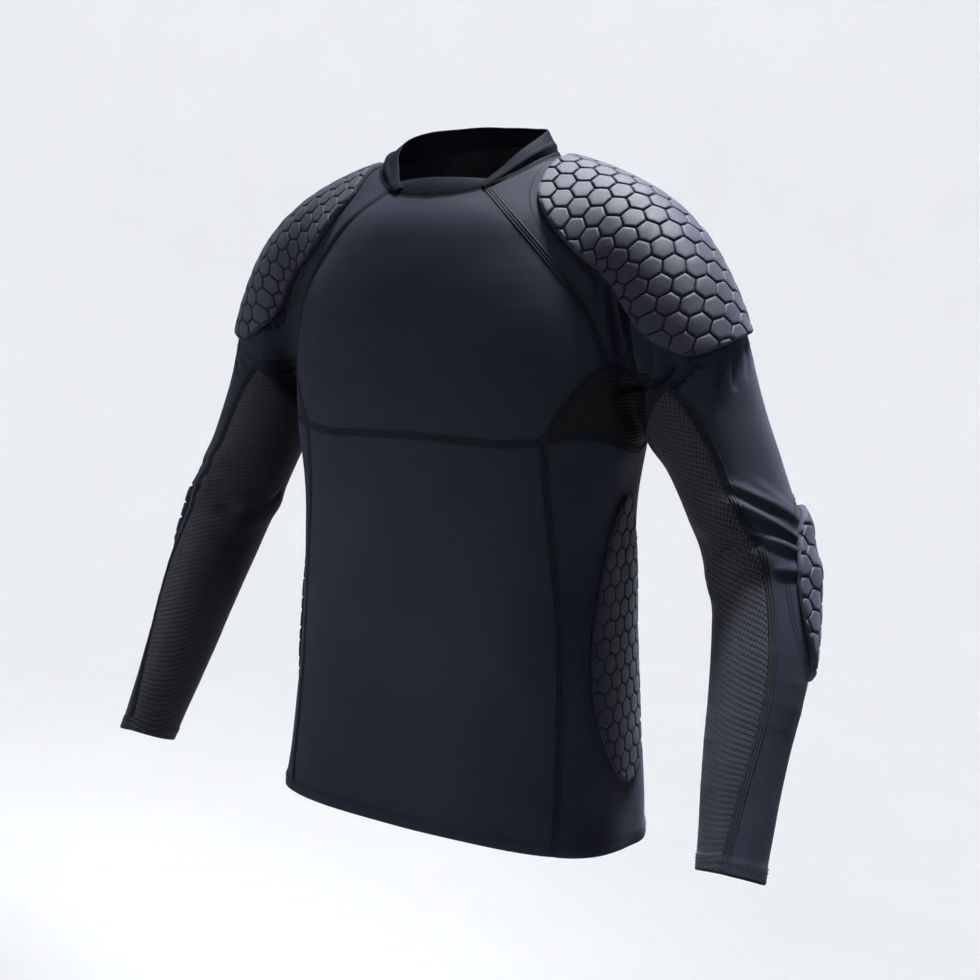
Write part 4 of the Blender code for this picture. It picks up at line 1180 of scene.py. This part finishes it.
def foam_relief(cells, low, high, pads):
    """A honeycomb pad laid flat: points as (across, along, height), faces, and how raised each looks, which
    sets the cover's painted groove shade and its roughness.
    """
    index, flat = {}, []

    def corner(p):
        x, y = 2 * p[0] / WELD, 2 * p[1] / WELD
        for key in [(round(x + a), round(y + b)) for a in (0, -0.5, 0.5) for b in (0, -0.5, 0.5)]:
            if key in index and math.dist(flat[index[key]], p) < WELD:
                return index[key]
        key = (round(x), round(y))
        index[key] = len(flat)
        flat.append(p)
        return index[key]

    rings = []
    for cell, share in cells:
        ring = []
        for p, q in zip(cell, cell[1:] + cell[:1]):
            steps = max(1, round(math.dist(p, q) / EDGE_STEP))
            for k in range(steps):
                c = corner((p[0] + (q[0] - p[0]) * k / steps, p[1] + (q[1] - p[1]) * k / steps))
                if c not in ring:
                    ring.append(c)
        if len(ring) > 2:
            rings.append((ring, share))
    base = np.array(flat)
    used = {pair for ring, _ in rings for pair in zip(ring, ring[1:] + ring[:1])}
    follow = {a: b for a, b in used if (b, a) not in used}
    shared = {a for a, b in used if (b, a) in used}
    edge = np.array([RIM_RISE * (k in follow and k not in shared) for k in range(len(base))])
    rise = high - low
    points = [np.column_stack([base, low + rise * edge])]
    raised = [RIM_SHOWN * edge]
    count = len(base)
    faces = []
    for ring, share in rings:
        poly = base[ring]
        nxt = np.roll(poly, -1, 0)
        size = 0.5 * (poly[:, 0] * nxt[:, 1] - nxt[:, 0] * poly[:, 1]).sum()
        inradius = 2 * size / np.linalg.norm(nxt - poly, axis=1).sum()
        middle = poly.mean(0)
        below = list(ring)
        for inset, up, shown in CELL_PROFILE if share > SMALLEST_RAISED else ():
            keep = 1 - min(inset * pads.groove / inradius, 0.8)
            spot = middle + (poly - middle) * keep
            height = low + rise * np.maximum(up, edge[ring])
            points.append(np.column_stack([spot, height]))
            raised.append(np.maximum(shown, RIM_SHOWN * edge[ring]))
            above = list(range(count, count + len(ring)))
            count += len(ring)
            faces += [[below[k], below[k - len(ring) + 1], above[k - len(ring) + 1], above[k]]
                      for k in range(len(ring))]
            below = above
        flat_top = share > SMALLEST_RAISED
        peak = high + pads.dome * min(1, share) if flat_top else low + 0.5 * rise
        points.append(np.array([[*middle, peak]]))
        raised.append(np.array([1.0 if flat_top else 0.5]))
        faces += [[below[k], below[k - len(ring) + 1], count] for k in range(len(ring))]
        count += 1
    start = next(iter(follow))
    loop = [start]
    while follow[loop[-1]] != start:
        loop.append(follow[loop[-1]])
    rim = base[loop]
    run = np.roll(rim, -1, 0) - np.roll(rim, 1, 0)
    out = unit(np.column_stack([run[:, 1], -run[:, 0]]))
    below = loop
    for reach, height in RIM_PROFILE:
        points.append(np.column_stack([rim + reach * out, height * (low + rise * edge[loop])]))
        raised.append(np.full(len(rim), RIM_SIDE_SHOWN * height))
        above = list(range(count, count + len(loop)))
        count += len(loop)
        faces += [[below[k - len(loop) + 1], below[k], above[k], above[k - len(loop) + 1]]
                  for k in range(len(loop))]
        below = above
    points.append(np.column_stack([base, np.zeros(len(base))]))
    raised.append(np.zeros(len(base)))
    twin = {a: count + a for a in range(len(base))}
    faces += [[below[k - len(loop) + 1], below[k], twin[loop[k]], twin[loop[k - len(loop) + 1]]]
              for k in range(len(loop))]
    faces += [[twin[c] for c in reversed(ring)] for ring, _ in rings]
    return np.vstack(points), faces, np.concatenate(raised)


class SHIRT_OT_pads(bpy.types.Operator):
    """Bond the six honeycomb foam pads on the cloth"""

    bl_idname = "shirt.pads"
    bl_label = "Foam pads"

    def execute(self, context):
        pads = context.scene.shirt_pads
        # The last number is how dark the painted shade in the grooves is
        covers = {"pad_cover": pad_cover("pad_cover_knit", pads.shoulder_colour, 0.32),
                  "rib_pad_cover": pad_cover("rib_cover_knit", pads.rib_colour, 0.6)}
        for name, _, outline, _, first_row, points_along, low, high, slot in PADS:
            flat, faces, raised = foam_relief(honeycomb(outline, first_row, points_along), low, high, pads)
            spot, up = pad_chart(name).at(flat[:, :2])
            for end, turned, way in (("_left", spot, up), ("_right", mirror(spot), mirror(up))):
                lift = WALL + PAD_LIFT + flat[:, 2] + ripples(turned)
                obj = new_piece(name + "_foam" + end, turned + lift[:, None] * way, faces, flat[:, :2])
                turn_outward(obj)
                layer = obj.data.attributes.new("raised", "FLOAT", "POINT")
                layer.data.foreach_set("value", raised.astype(np.float32))
                finish_piece(obj, slot, covers[slot], name + end)
        return {"FINISHED"}


def turn_outward(obj):
    """Face normals of a closed piece recalculated outward."""
    bm = bmesh.new()
    bm.from_mesh(obj.data)
    bmesh.ops.recalc_face_normals(bm, faces=bm.faces[:])
    bm.to_mesh(obj.data)
    bm.free()


def flat_seam(line, width, ridge, stitch, phase):
    """A flat seam's cover stitching: a band with three ridges, notched at each stitch, as one body."""
    count = max(4, int(round(lengths(line)[-1] / (0.5 * stitch))))
    line = even(line, count)
    t = np.linspace(0, 1, BAND_POINTS)
    n = normals(line)
    side = unit(np.cross(n, np.gradient(line, axis=0)))
    spot = line[:, None] + (t - 0.5)[None, :, None] * width * side[:, None]
    spot = settle(spot, 2)
    notch = 1 - NOTCH * ((np.arange(count + 1)[:, None] + BAND_SET_OVER + phase) % 2)
    height = BAND_LIFT + ridge * notch * np.sin(3 * math.pi * t) ** 2
    top = spot + (WALL + height + creases(spot))[..., None] * n[:, None]
    ends = spot[:, [-1, 0]]
    low = ends + (WALL - BAND_SUNK + creases(ends))[..., None] * n[:, None]
    ring = np.concatenate([top, low], axis=1)
    rows, cols = ring.shape[:2]
    k = np.arange(rows * cols).reshape(rows, cols)
    nxt = np.roll(k, -1, axis=1)
    faces = np.stack([k[:-1], nxt[:-1], nxt[1:], k[1:]], 2).reshape(-1, 4).tolist()
    faces += [k[0][::-1].tolist(), k[-1].tolist()]
    run = lengths(line)
    flat = np.zeros((rows, cols, 2))
    flat[..., 0] = np.concatenate([t, [1.0, 0.0]]) * width
    flat[..., 1] = run[:, None]
    return ring.reshape(-1, 3), faces, flat.reshape(-1, 2)


def gathered(parts):
    """Several bodies' vertices, faces and flat sizes as one piece's."""
    verts, faces, flats, start = [], [], [], 0
    for v, f, uv in parts:
        verts.append(v)
        faces += [[start + k for k in face] for face in f]
        flats.append(uv)
        start += len(v)
    return np.vstack(verts), faces, np.vstack(flats)


class SHIRT_OT_seams(bpy.types.Operator):
    """Sew the flat three-ridged seams over every join between two pieces of cloth"""

    bl_idname = "shirt.seams"
    bl_label = "Flat seams"

    def execute(self, context):
        s, sew = seam_lines(), context.scene.shirt_seams
        thread = seam_thread()
        armhole = join(s["armhole_front"], s["mesh_top"], s["armhole_back"][::-1])
        half = {
            "raglan_seams": [s["raglan_front"], s["raglan_back"]],
            "armhole_seams": [s["gusset_front"], s["gusset_back"], s["gusset_low"], armhole],
            "sleeve_seams": [s["sleeve_front"], s["sleeve_back"]],
            "side_seams": [s["princess"], s["back_seam"]],
        }
        made = {name + end: [turn(line) for line in lines] for name, lines in half.items()
                for end, turn in (("_left", lambda line: line), ("_right", mirror))}
        made["chest_seam"] = [both_halves(s["chest_seam"])]
        for name, lines in made.items():
            parts = [flat_seam(line, sew.band_width, sew.ridge, sew.stitch, k)
                     for k, line in enumerate(lines)]
            obj = new_piece(name, *gathered(parts))
            turn_outward(obj)
            finish_piece(obj, "stretch_knit", thread)
        neck = join(s["neck_side"], s["neck_back"])
        neck = join(both_halves(s["neck_front"]), neck, mirror(neck[::-1]))
        obj = new_piece("neck_seam", *flat_seam(neck, NECK_SEAM_WIDTH, NECK_SEAM_RIDGE, sew.stitch, 0))
        turn_outward(obj)
        finish_piece(obj, "collar_knit", thread)
        return {"FINISHED"}


def one_stitch(size):
    """A stitch at the origin along X, drawn down at both ends: its vertices and faces."""
    bpy.ops.object.select_all(action="DESELECT")
    bpy.ops.mesh.primitive_uv_sphere_add(segments=6, ring_count=4, radius=0.5, rotation=(0, math.pi / 2, 0))
    bpy.ops.object.mode_set(mode="EDIT")
    bpy.ops.mesh.select_all(action="SELECT")
    bpy.ops.transform.resize(value=(STITCH_WIDTH, STITCH_WIDTH, STITCH_LENGTH * size))
    bpy.ops.object.mode_set(mode="OBJECT")
    bpy.ops.object.transform_apply(location=True, rotation=True, scale=True)
    obj = bpy.context.object
    verts = np.array([v.co for v in obj.data.vertices])
    verts[:, 2] -= STITCH_PULL * (verts[:, 0] / (0.5 * STITCH_LENGTH * size)) ** 2
    faces = [list(p.vertices) for p in obj.data.polygons]
    bpy.data.objects.remove(obj, do_unlink=True)
    return verts, faces


def stitched(rows, size):
    """Copies of one stitch set along each row of points and outward directions."""
    shape, shape_faces = one_stitch(size)
    parts = []
    for points, up in rows:
        run = lengths(points)
        count = int(run[-1] / size)
        where = (np.arange(count) + 0.5) * run[-1] / count
        spot = np.stack([np.interp(where, run, points[:, k]) for k in range(3)], 1)
        ahead = np.stack([np.interp(where + STITCH_AHEAD, run, points[:, k]) for k in range(3)], 1)
        n = unit(np.stack([np.interp(where, run, up[:, k]) for k in range(3)], 1))
        t = unit(ahead - spot - ((ahead - spot) * n).sum(1)[:, None] * n)
        turned = np.stack([t, np.cross(n, t), n], 1)
        verts = spot[:, None] + np.einsum("vk,ckd->cvd", shape, turned)
        for k in range(count):
            parts.append((verts[k], shape_faces, np.zeros((len(shape), 2))))
    return gathered(parts)


def row_above(grid, distance):
    """The line across a grid at a distance above its bottom edge."""
    line = []
    for j in range(grid.shape[1]):
        run = lengths(grid[:, j])
        line.append([np.interp(run[-1] - distance, run, grid[:, j, k]) for k in range(3)])
    return np.array(line)


def pad_stitch_line(name, offset):
    """A line round a pad at a distance outside its outline, on the cloth."""
    outline = next(row[2] for row in PADS if row[0] == name)
    ring = np.column_stack([np.array(outline + outline[:1]), np.zeros(len(outline) + 1)])
    smooth = even(spline(ring, 300), 300)[:, :2]
    run = np.gradient(smooth, axis=0)
    out = unit(np.column_stack([run[:, 1], -run[:, 0]]))
    out = out if ((smooth - smooth.mean(0)) * out).sum() > 0 else -out
    smooth = smooth + offset * out
    smooth = smooth[smooth[:, 1] > 0.0004]
    return pad_chart(name).at(smooth)


class SHIRT_OT_stitches(bpy.types.Operator):
    """Sew the rows of stitches round the pads, above the hem and above the cuffs"""

    bl_idname = "shirt.stitches"
    bl_label = "Stitch rows"

    def execute(self, context):
        size = context.scene.shirt_seams.stitch
        depth = context.scene.shirt_cloth.hem_depth
        thread = seam_thread()
        for end, turn in (("_left", lambda p: p), ("_right", mirror)):
            rows = []
            for name, offsets in PAD_STITCHES:
                for offset in offsets:
                    spot, up = pad_stitch_line(name, offset)
                    spot, up = turn(spot), turn(up)
                    rows.append((spot + (WALL + STITCH_LIFT + creases(spot))[:, None] * up, up))
            obj = new_piece("pad_stitches" + end, *stitched(rows, size))
            finish_piece(obj, "stretch_knit", thread)
        grids, rows = cloth_grids(), []
        for name, twin in (("belly", False), ("back", False), ("side", True), ("sleeve_outer", True),
                           ("sleeve_inner", True)):
            for inset in HEM_ROWS_IN:
                line = row_above(grids[name], depth - inset)
                for turn in (lambda p: p, mirror)[:1 + twin]:
                    spot = turn(line)
                    n = normals(spot)
                    rows.append((spot + (WALL + HEM_LIFT + STITCH_LIFT + creases(spot))[:, None] * n, n))
        obj = new_piece("hem_stitches", *stitched(rows, size))
        finish_piece(obj, "stretch_knit", thread)
        return {"FINISHED"}


class Recipe:
    """Wires up the nodes of one material."""

    def __init__(self, name, roughness, sheen, sheen_tint=(0.62, 0.68, 0.90), sheen_roughness=0.4):
        self.material = bpy.data.materials.new(name)
        self.material.use_nodes = True
        self.tree = self.material.node_tree
        self.shader = self.tree.nodes["Principled BSDF"]
        self.shader.inputs["Roughness"].default_value = roughness
        self.shader.inputs["Specular IOR Level"].default_value = 0.03
        self.shader.inputs["Sheen Weight"].default_value = sheen
        self.shader.inputs["Sheen Roughness"].default_value = sheen_roughness
        self.shader.inputs["Sheen Tint"].default_value = (*sheen_tint, 1)
        place = self.tree.nodes.new("ShaderNodeTexCoord")
        self.place = place.outputs["Object"]
        flat = self.tree.nodes.new("ShaderNodeUVMap")
        flat.uv_map = "flat"
        split = self.tree.nodes.new("ShaderNodeSeparateXYZ")
        self.tree.links.new(flat.outputs["UV"], split.inputs[0])
        self.across, self.down = split.outputs["X"], split.outputs["Y"]

    def put(self, made, socket, value):
        if isinstance(value, bpy.types.NodeSocket):
            self.tree.links.new(value, made.inputs[socket])
        else:
            made.inputs[socket].default_value = value

    def math(self, operation, a, b=None):
        made = self.tree.nodes.new("ShaderNodeMath")
        made.operation = operation
        self.put(made, 0, a)
        if b is not None:
            self.put(made, 1, b)
        return made.outputs[0]

    def wave(self, value, pitch, kind="COSINE"):
        """A wave from -1 to 1 that repeats at each pitch, in metres."""
        return self.math(kind, self.math("MULTIPLY", value, 2 * math.pi / pitch))

    def ramp(self, value, low, high, to_low=0.0, to_high=1.0):
        made = self.tree.nodes.new("ShaderNodeMapRange")
        made.interpolation_type = "SMOOTHSTEP"
        for socket, what in enumerate((value, low, high, to_low, to_high)):
            self.put(made, socket, what)
        return made.outputs[0]

    def noise(self, scale, detail=3.0, low=0.0, high=1.0):
        made = self.tree.nodes.new("ShaderNodeTexNoise")
        self.put(made, "Vector", self.place)
        self.put(made, "Scale", scale)
        self.put(made, "Detail", detail)
        return self.ramp(made.outputs["Fac"], 0.3, 0.7, low, high)

    def blend(self, share, a, b):
        made = self.tree.nodes.new("ShaderNodeMix")
        made.data_type = "RGBA"
        for socket, what in ((0, share), (6, a), (7, b)):
            self.put(made, socket, what)
        return made.outputs[2]

    def bump(self, height, distance, strength=1.0, below=None):
        made = self.tree.nodes.new("ShaderNodeBump")
        self.put(made, "Height", height)
        self.put(made, "Distance", distance)
        self.put(made, "Strength", strength)
        if below is not None:
            self.put(made, "Normal", below)
        return made.outputs[0]

    def done(self, colour, normal, roughness=None):
        self.put(self.shader, "Base Color", colour)
        self.put(self.shader, "Normal", normal)
        if roughness is not None:
            self.put(self.shader, "Roughness", roughness)
        return self.material


def shade(colour, share):
    """A colour made lighter or darker, as a socket takes it."""
    return (*[min(1.0, c * share) for c in colour], 1.0)


def knit_face(r, colour, fine=0.12):
    """The even face of a fine stretch knit: its colour and its bump."""
    wide = r.noise(9.0, 2.0)
    heather = r.noise(900.0, 2.0)
    tone = r.blend(wide, shade(colour, 0.88), shade(colour, 1.10))
    tone = r.blend(r.math("MULTIPLY", heather, fine), tone, shade(colour, 1.9))
    stitches = r.math("MULTIPLY", r.wave(r.across, 0.0009), r.wave(r.down, 0.0007))
    return tone, r.bump(r.math("ADD", stitches, heather), 0.00010, 0.6)


@functools.lru_cache(maxsize=None)
def stretch_knit():
    r = Recipe("smooth_stretch_knit", 0.50, 0.03)
    r.shader.inputs["Specular IOR Level"].default_value = 0.01
    tone, normal = knit_face(r, bpy.context.scene.shirt_cloth.knit_colour)
    return r.done(tone, normal, r.noise(60.0, 3.0, 0.46, 0.58))


@functools.lru_cache(maxsize=None)
def collar_knit():
    r = Recipe("doubled_collar_knit", 0.62, 0.0)
    r.shader.inputs["Specular IOR Level"].default_value = 0.006
    # Painted shade: the collar takes the stretch knit's colour at half its value
    tone, normal = knit_face(r, [0.50 * c for c in bpy.context.scene.shirt_cloth.knit_colour])
    return r.done(tone, normal, r.noise(60.0, 3.0, 0.52, 0.64))


@functools.lru_cache(maxsize=None)
def air_mesh():
    """Open mesh: rows of small oval holes, every other row set over by half a hole, with a painted highlight
    on the yarn between them.
    """
    cloth = bpy.context.scene.shirt_cloth
    r = Recipe("open_air_mesh", 0.60, 0.04)
    row = r.wave(r.down, 1.30 * cloth.mesh_pitch)
    lattice = r.math("MULTIPLY", r.wave(r.across, cloth.mesh_pitch), row)
    hole = r.ramp(lattice, 0.30, 0.75)
    tone = r.blend(r.noise(12.0, 2.0), shade(cloth.mesh_colour, 0.85), shade(cloth.mesh_colour, 1.15))
    # Painted highlight: the yarn between the holes is lightened up to 2.4 times the mesh colour
    tone = r.blend(r.ramp(lattice, -0.9, -0.1, 0.8, 0.0), tone, shade(cloth.mesh_colour, 2.4))
    tone = r.blend(hole, tone, shade(cloth.mesh_colour, 0.22))
    height = r.math("SUBTRACT", r.math("MULTIPLY", r.noise(1400.0, 2.0), 0.08), hole)
    return r.done(tone, r.bump(height, 0.0007, 0.9))


@functools.lru_cache(maxsize=None)
def gusset_mesh():
    """Closer mesh in fine ribs across, as under the arms."""
    cloth = bpy.context.scene.shirt_cloth
    r = Recipe("ribbed_gusset_mesh", 0.65, 0.03)
    parts = r.tree.nodes.new("ShaderNodeSeparateXYZ")
    r.tree.links.new(r.place, parts.inputs[0])
    rib = r.wave(parts.outputs["Z"], 0.0036)
    hole = r.ramp(r.math("MULTIPLY", r.wave(parts.outputs["X"], 0.0040), rib), 0.25, 0.7)
    tone = r.blend(r.ramp(rib, -0.8, 0.6, 0.8, 0.0), shade(cloth.mesh_colour, 0.62),
                   shade(cloth.mesh_colour, 0.22))
    tone = r.blend(hole, tone, shade(cloth.mesh_colour, 0.15))
    height = r.math("SUBTRACT", rib, hole)
    return r.done(tone, r.bump(height, 0.0004, 0.8))


def pad_cover(name, colour, groove_painted_shade):
    """Knit pressed over foam, smoother on top, with painted shade down in the grooves and at the foot of the
    rim.
    """
    r = Recipe(name, 0.46, 0.03)
    raised = r.tree.nodes.new("ShaderNodeAttribute")
    raised.attribute_name = "raised"
    tone, normal = knit_face(r, colour, 0.08)
    # Painted shade: the cover is darkened towards the grooves and the rim's foot, where the raised attribute
    # is low
    tone = r.blend(r.ramp(raised.outputs["Fac"], 0.0, 0.7, groove_painted_shade, 0.0), tone, shade(colour, 0.30))
    return r.done(tone, normal, r.ramp(raised.outputs["Fac"], 0.0, 1.0, 0.62, 0.46))


@functools.lru_cache(maxsize=None)
def seam_thread():
    """Covered thread: fine plies across the run of the seam, with painted shade in the grooves between the
    ridges.
    """
    colour = bpy.context.scene.shirt_seams.thread_colour
    r = Recipe("seam_thread", 0.70, 0.0)
    ply = r.wave(r.math("ADD", r.down, r.across), 0.0009)
    tone = r.blend(r.ramp(ply, -1.0, 1.0), shade(colour, 0.80), shade(colour, 1.30))
    # Painted shade: the thread is darkened to 0.12 of its colour in the grooves between the three ridges
    tone = r.blend(r.ramp(r.wave(r.across, bpy.context.scene.shirt_seams.band_width / 3), 0.1, 0.95), tone,
                   shade(colour, 0.12))
    return r.done(tone, r.bump(r.math("ADD", ply, r.noise(1200.0, 2.0)), 0.00012, 0.7))


def stage_material():
    """Matt pale paper with the faintest mottle."""
    r = Recipe("pale_paper", 0.9, 0.0)
    tone = r.blend(r.noise(3.0, 2.0), (0.93, 0.93, 0.935, 1), (0.95, 0.95, 0.955, 1))
    return r.done(tone, r.bump(r.noise(200.0, 2.0), 0.0002, 0.3))


def area_light(name, place, aim, power, size, spread):
    """A soft light with a narrow spread, aimed at the shirt, that isn't seen itself."""
    lamp = bpy.data.lights.new(name, "AREA")
    lamp.size, lamp.energy, lamp.spread = size, power, math.radians(spread)
    obj = bpy.data.objects.new(name, lamp)
    bpy.context.scene.collection.objects.link(obj)
    obj.location = place
    obj.rotation_euler = (Vector(aim) - Vector(place)).to_track_quat("-Z", "Y").to_euler()
    obj.visible_camera = False


class SHIRT_OT_stage(bpy.types.Operator):
    """Set the pale floor and backdrop, the soft lights and the camera"""

    bl_idname = "shirt.stage"
    bl_label = "Stage"

    def execute(self, context):
        stage = context.scene.shirt_stage
        bpy.ops.object.select_all(action="DESELECT")
        bpy.ops.mesh.primitive_circle_add(vertices=128, radius=FLOOR_RADIUS, fill_type="NGON",
                                          location=(0, 0, stage.floor_height))
        floor = context.object
        floor.name = "floor_and_backdrop"
        bpy.ops.object.mode_set(mode="EDIT")
        bpy.ops.mesh.select_all(action="SELECT")
        bpy.ops.mesh.region_to_loop()
        radius, height = FLOOR_RADIUS, 0.0
        for k in range(1, BEND_STEPS + 1):
            turn = math.radians(90 / BEND_STEPS * k)
            wide = FLOOR_RADIUS + BEND_RADIUS * math.sin(turn)
            high = BEND_RADIUS * (1 - math.cos(turn))
            bpy.ops.mesh.extrude_edges_move(TRANSFORM_OT_translate={"value": (0, 0, high - height)})
            bpy.ops.transform.resize(value=(wide / radius, wide / radius, 1))
            radius, height = wide, high
        bpy.ops.mesh.extrude_edges_move(TRANSFORM_OT_translate={"value": (0, 0, BACKDROP_HEIGHT)})
        bpy.ops.mesh.select_all(action="SELECT")
        bpy.ops.mesh.normals_make_consistent(inside=True)
        bpy.ops.object.mode_set(mode="OBJECT")
        bpy.ops.object.transform_apply(location=True, rotation=True, scale=True)
        for face in floor.data.polygons:
            face.use_smooth = True
        floor.data.materials.append(stage_material())

        for name, place, aim, power, size, spread in LAMPS:
            area_light(name, place, aim, getattr(stage, power), size, spread)
        world = context.scene.world or bpy.data.worlds.new("studio")
        context.scene.world = world
        world.use_nodes = True
        backdrop = world.node_tree.nodes["Background"]
        backdrop.inputs["Color"].default_value = SKY_COLOUR
        backdrop.inputs["Strength"].default_value = SKY_STRENGTH
        context.scene.view_settings.view_transform = "Standard"

        across = Vector((math.cos(stage.turn), math.sin(stage.turn), 0))
        back = Vector((math.sin(stage.turn) * math.cos(stage.rise),
                       -math.cos(stage.turn) * math.cos(stage.rise), math.sin(stage.rise)))
        lens = bpy.data.cameras.new("camera")
        lens.sensor_width, lens.lens = 36, stage.lens
        camera = bpy.data.objects.new("camera", lens)
        context.scene.collection.objects.link(camera)
        camera.location = across * AIM_ACROSS + Vector((0, 0, AIM_HEIGHT)) + back * stage.distance
        camera.rotation_euler = (-back).to_track_quat("-Z", "Y").to_euler()
        context.scene.camera = camera
        return {"FINISHED"}


OPERATORS = (SHIRT_OT_stage, SHIRT_OT_cloth, SHIRT_OT_collar, SHIRT_OT_pads, SHIRT_OT_seams,
             SHIRT_OT_stitches)


class SHIRT_PT_panel(bpy.types.Panel):
    """The steps that make the shirt, in order, and their sizes"""

    bl_idname = "SHIRT_PT_panel"
    bl_label = "Padded shirt"
    bl_space_type = "VIEW_3D"
    bl_region_type = "UI"
    bl_category = "Shirt"

    def draw(self, context):
        for step in OPERATORS:
            self.layout.operator(step.bl_idname)
        for group in GROUPS:
            box = self.layout.box()
            for name in GROUPS[group].__annotations__:
                box.prop(getattr(context.scene, group), name)


GROUPS = {"shirt_cloth": ShirtCloth, "shirt_pads": ShirtPads, "shirt_seams": ShirtSeams,
          "shirt_stage": ShirtStage}


def register():
    for name, kind in GROUPS.items():
        bpy.utils.register_class(kind)
        setattr(bpy.types.Scene, name, PointerProperty(type=kind))
    for kind in (*OPERATORS, SHIRT_PT_panel):
        bpy.utils.register_class(kind)


def unregister():
    for kind in (SHIRT_PT_panel, *reversed(OPERATORS)):
        bpy.utils.unregister_class(kind)
    for name, kind in GROUPS.items():
        delattr(bpy.types.Scene, name)
        bpy.utils.unregister_class(kind)


def main():
    register()
    for step in (bpy.ops.shirt.stage, bpy.ops.shirt.cloth, bpy.ops.shirt.collar, bpy.ops.shirt.pads,
                 bpy.ops.shirt.seams, bpy.ops.shirt.stitches):
        step()


if __name__ == "__main__":
    main()
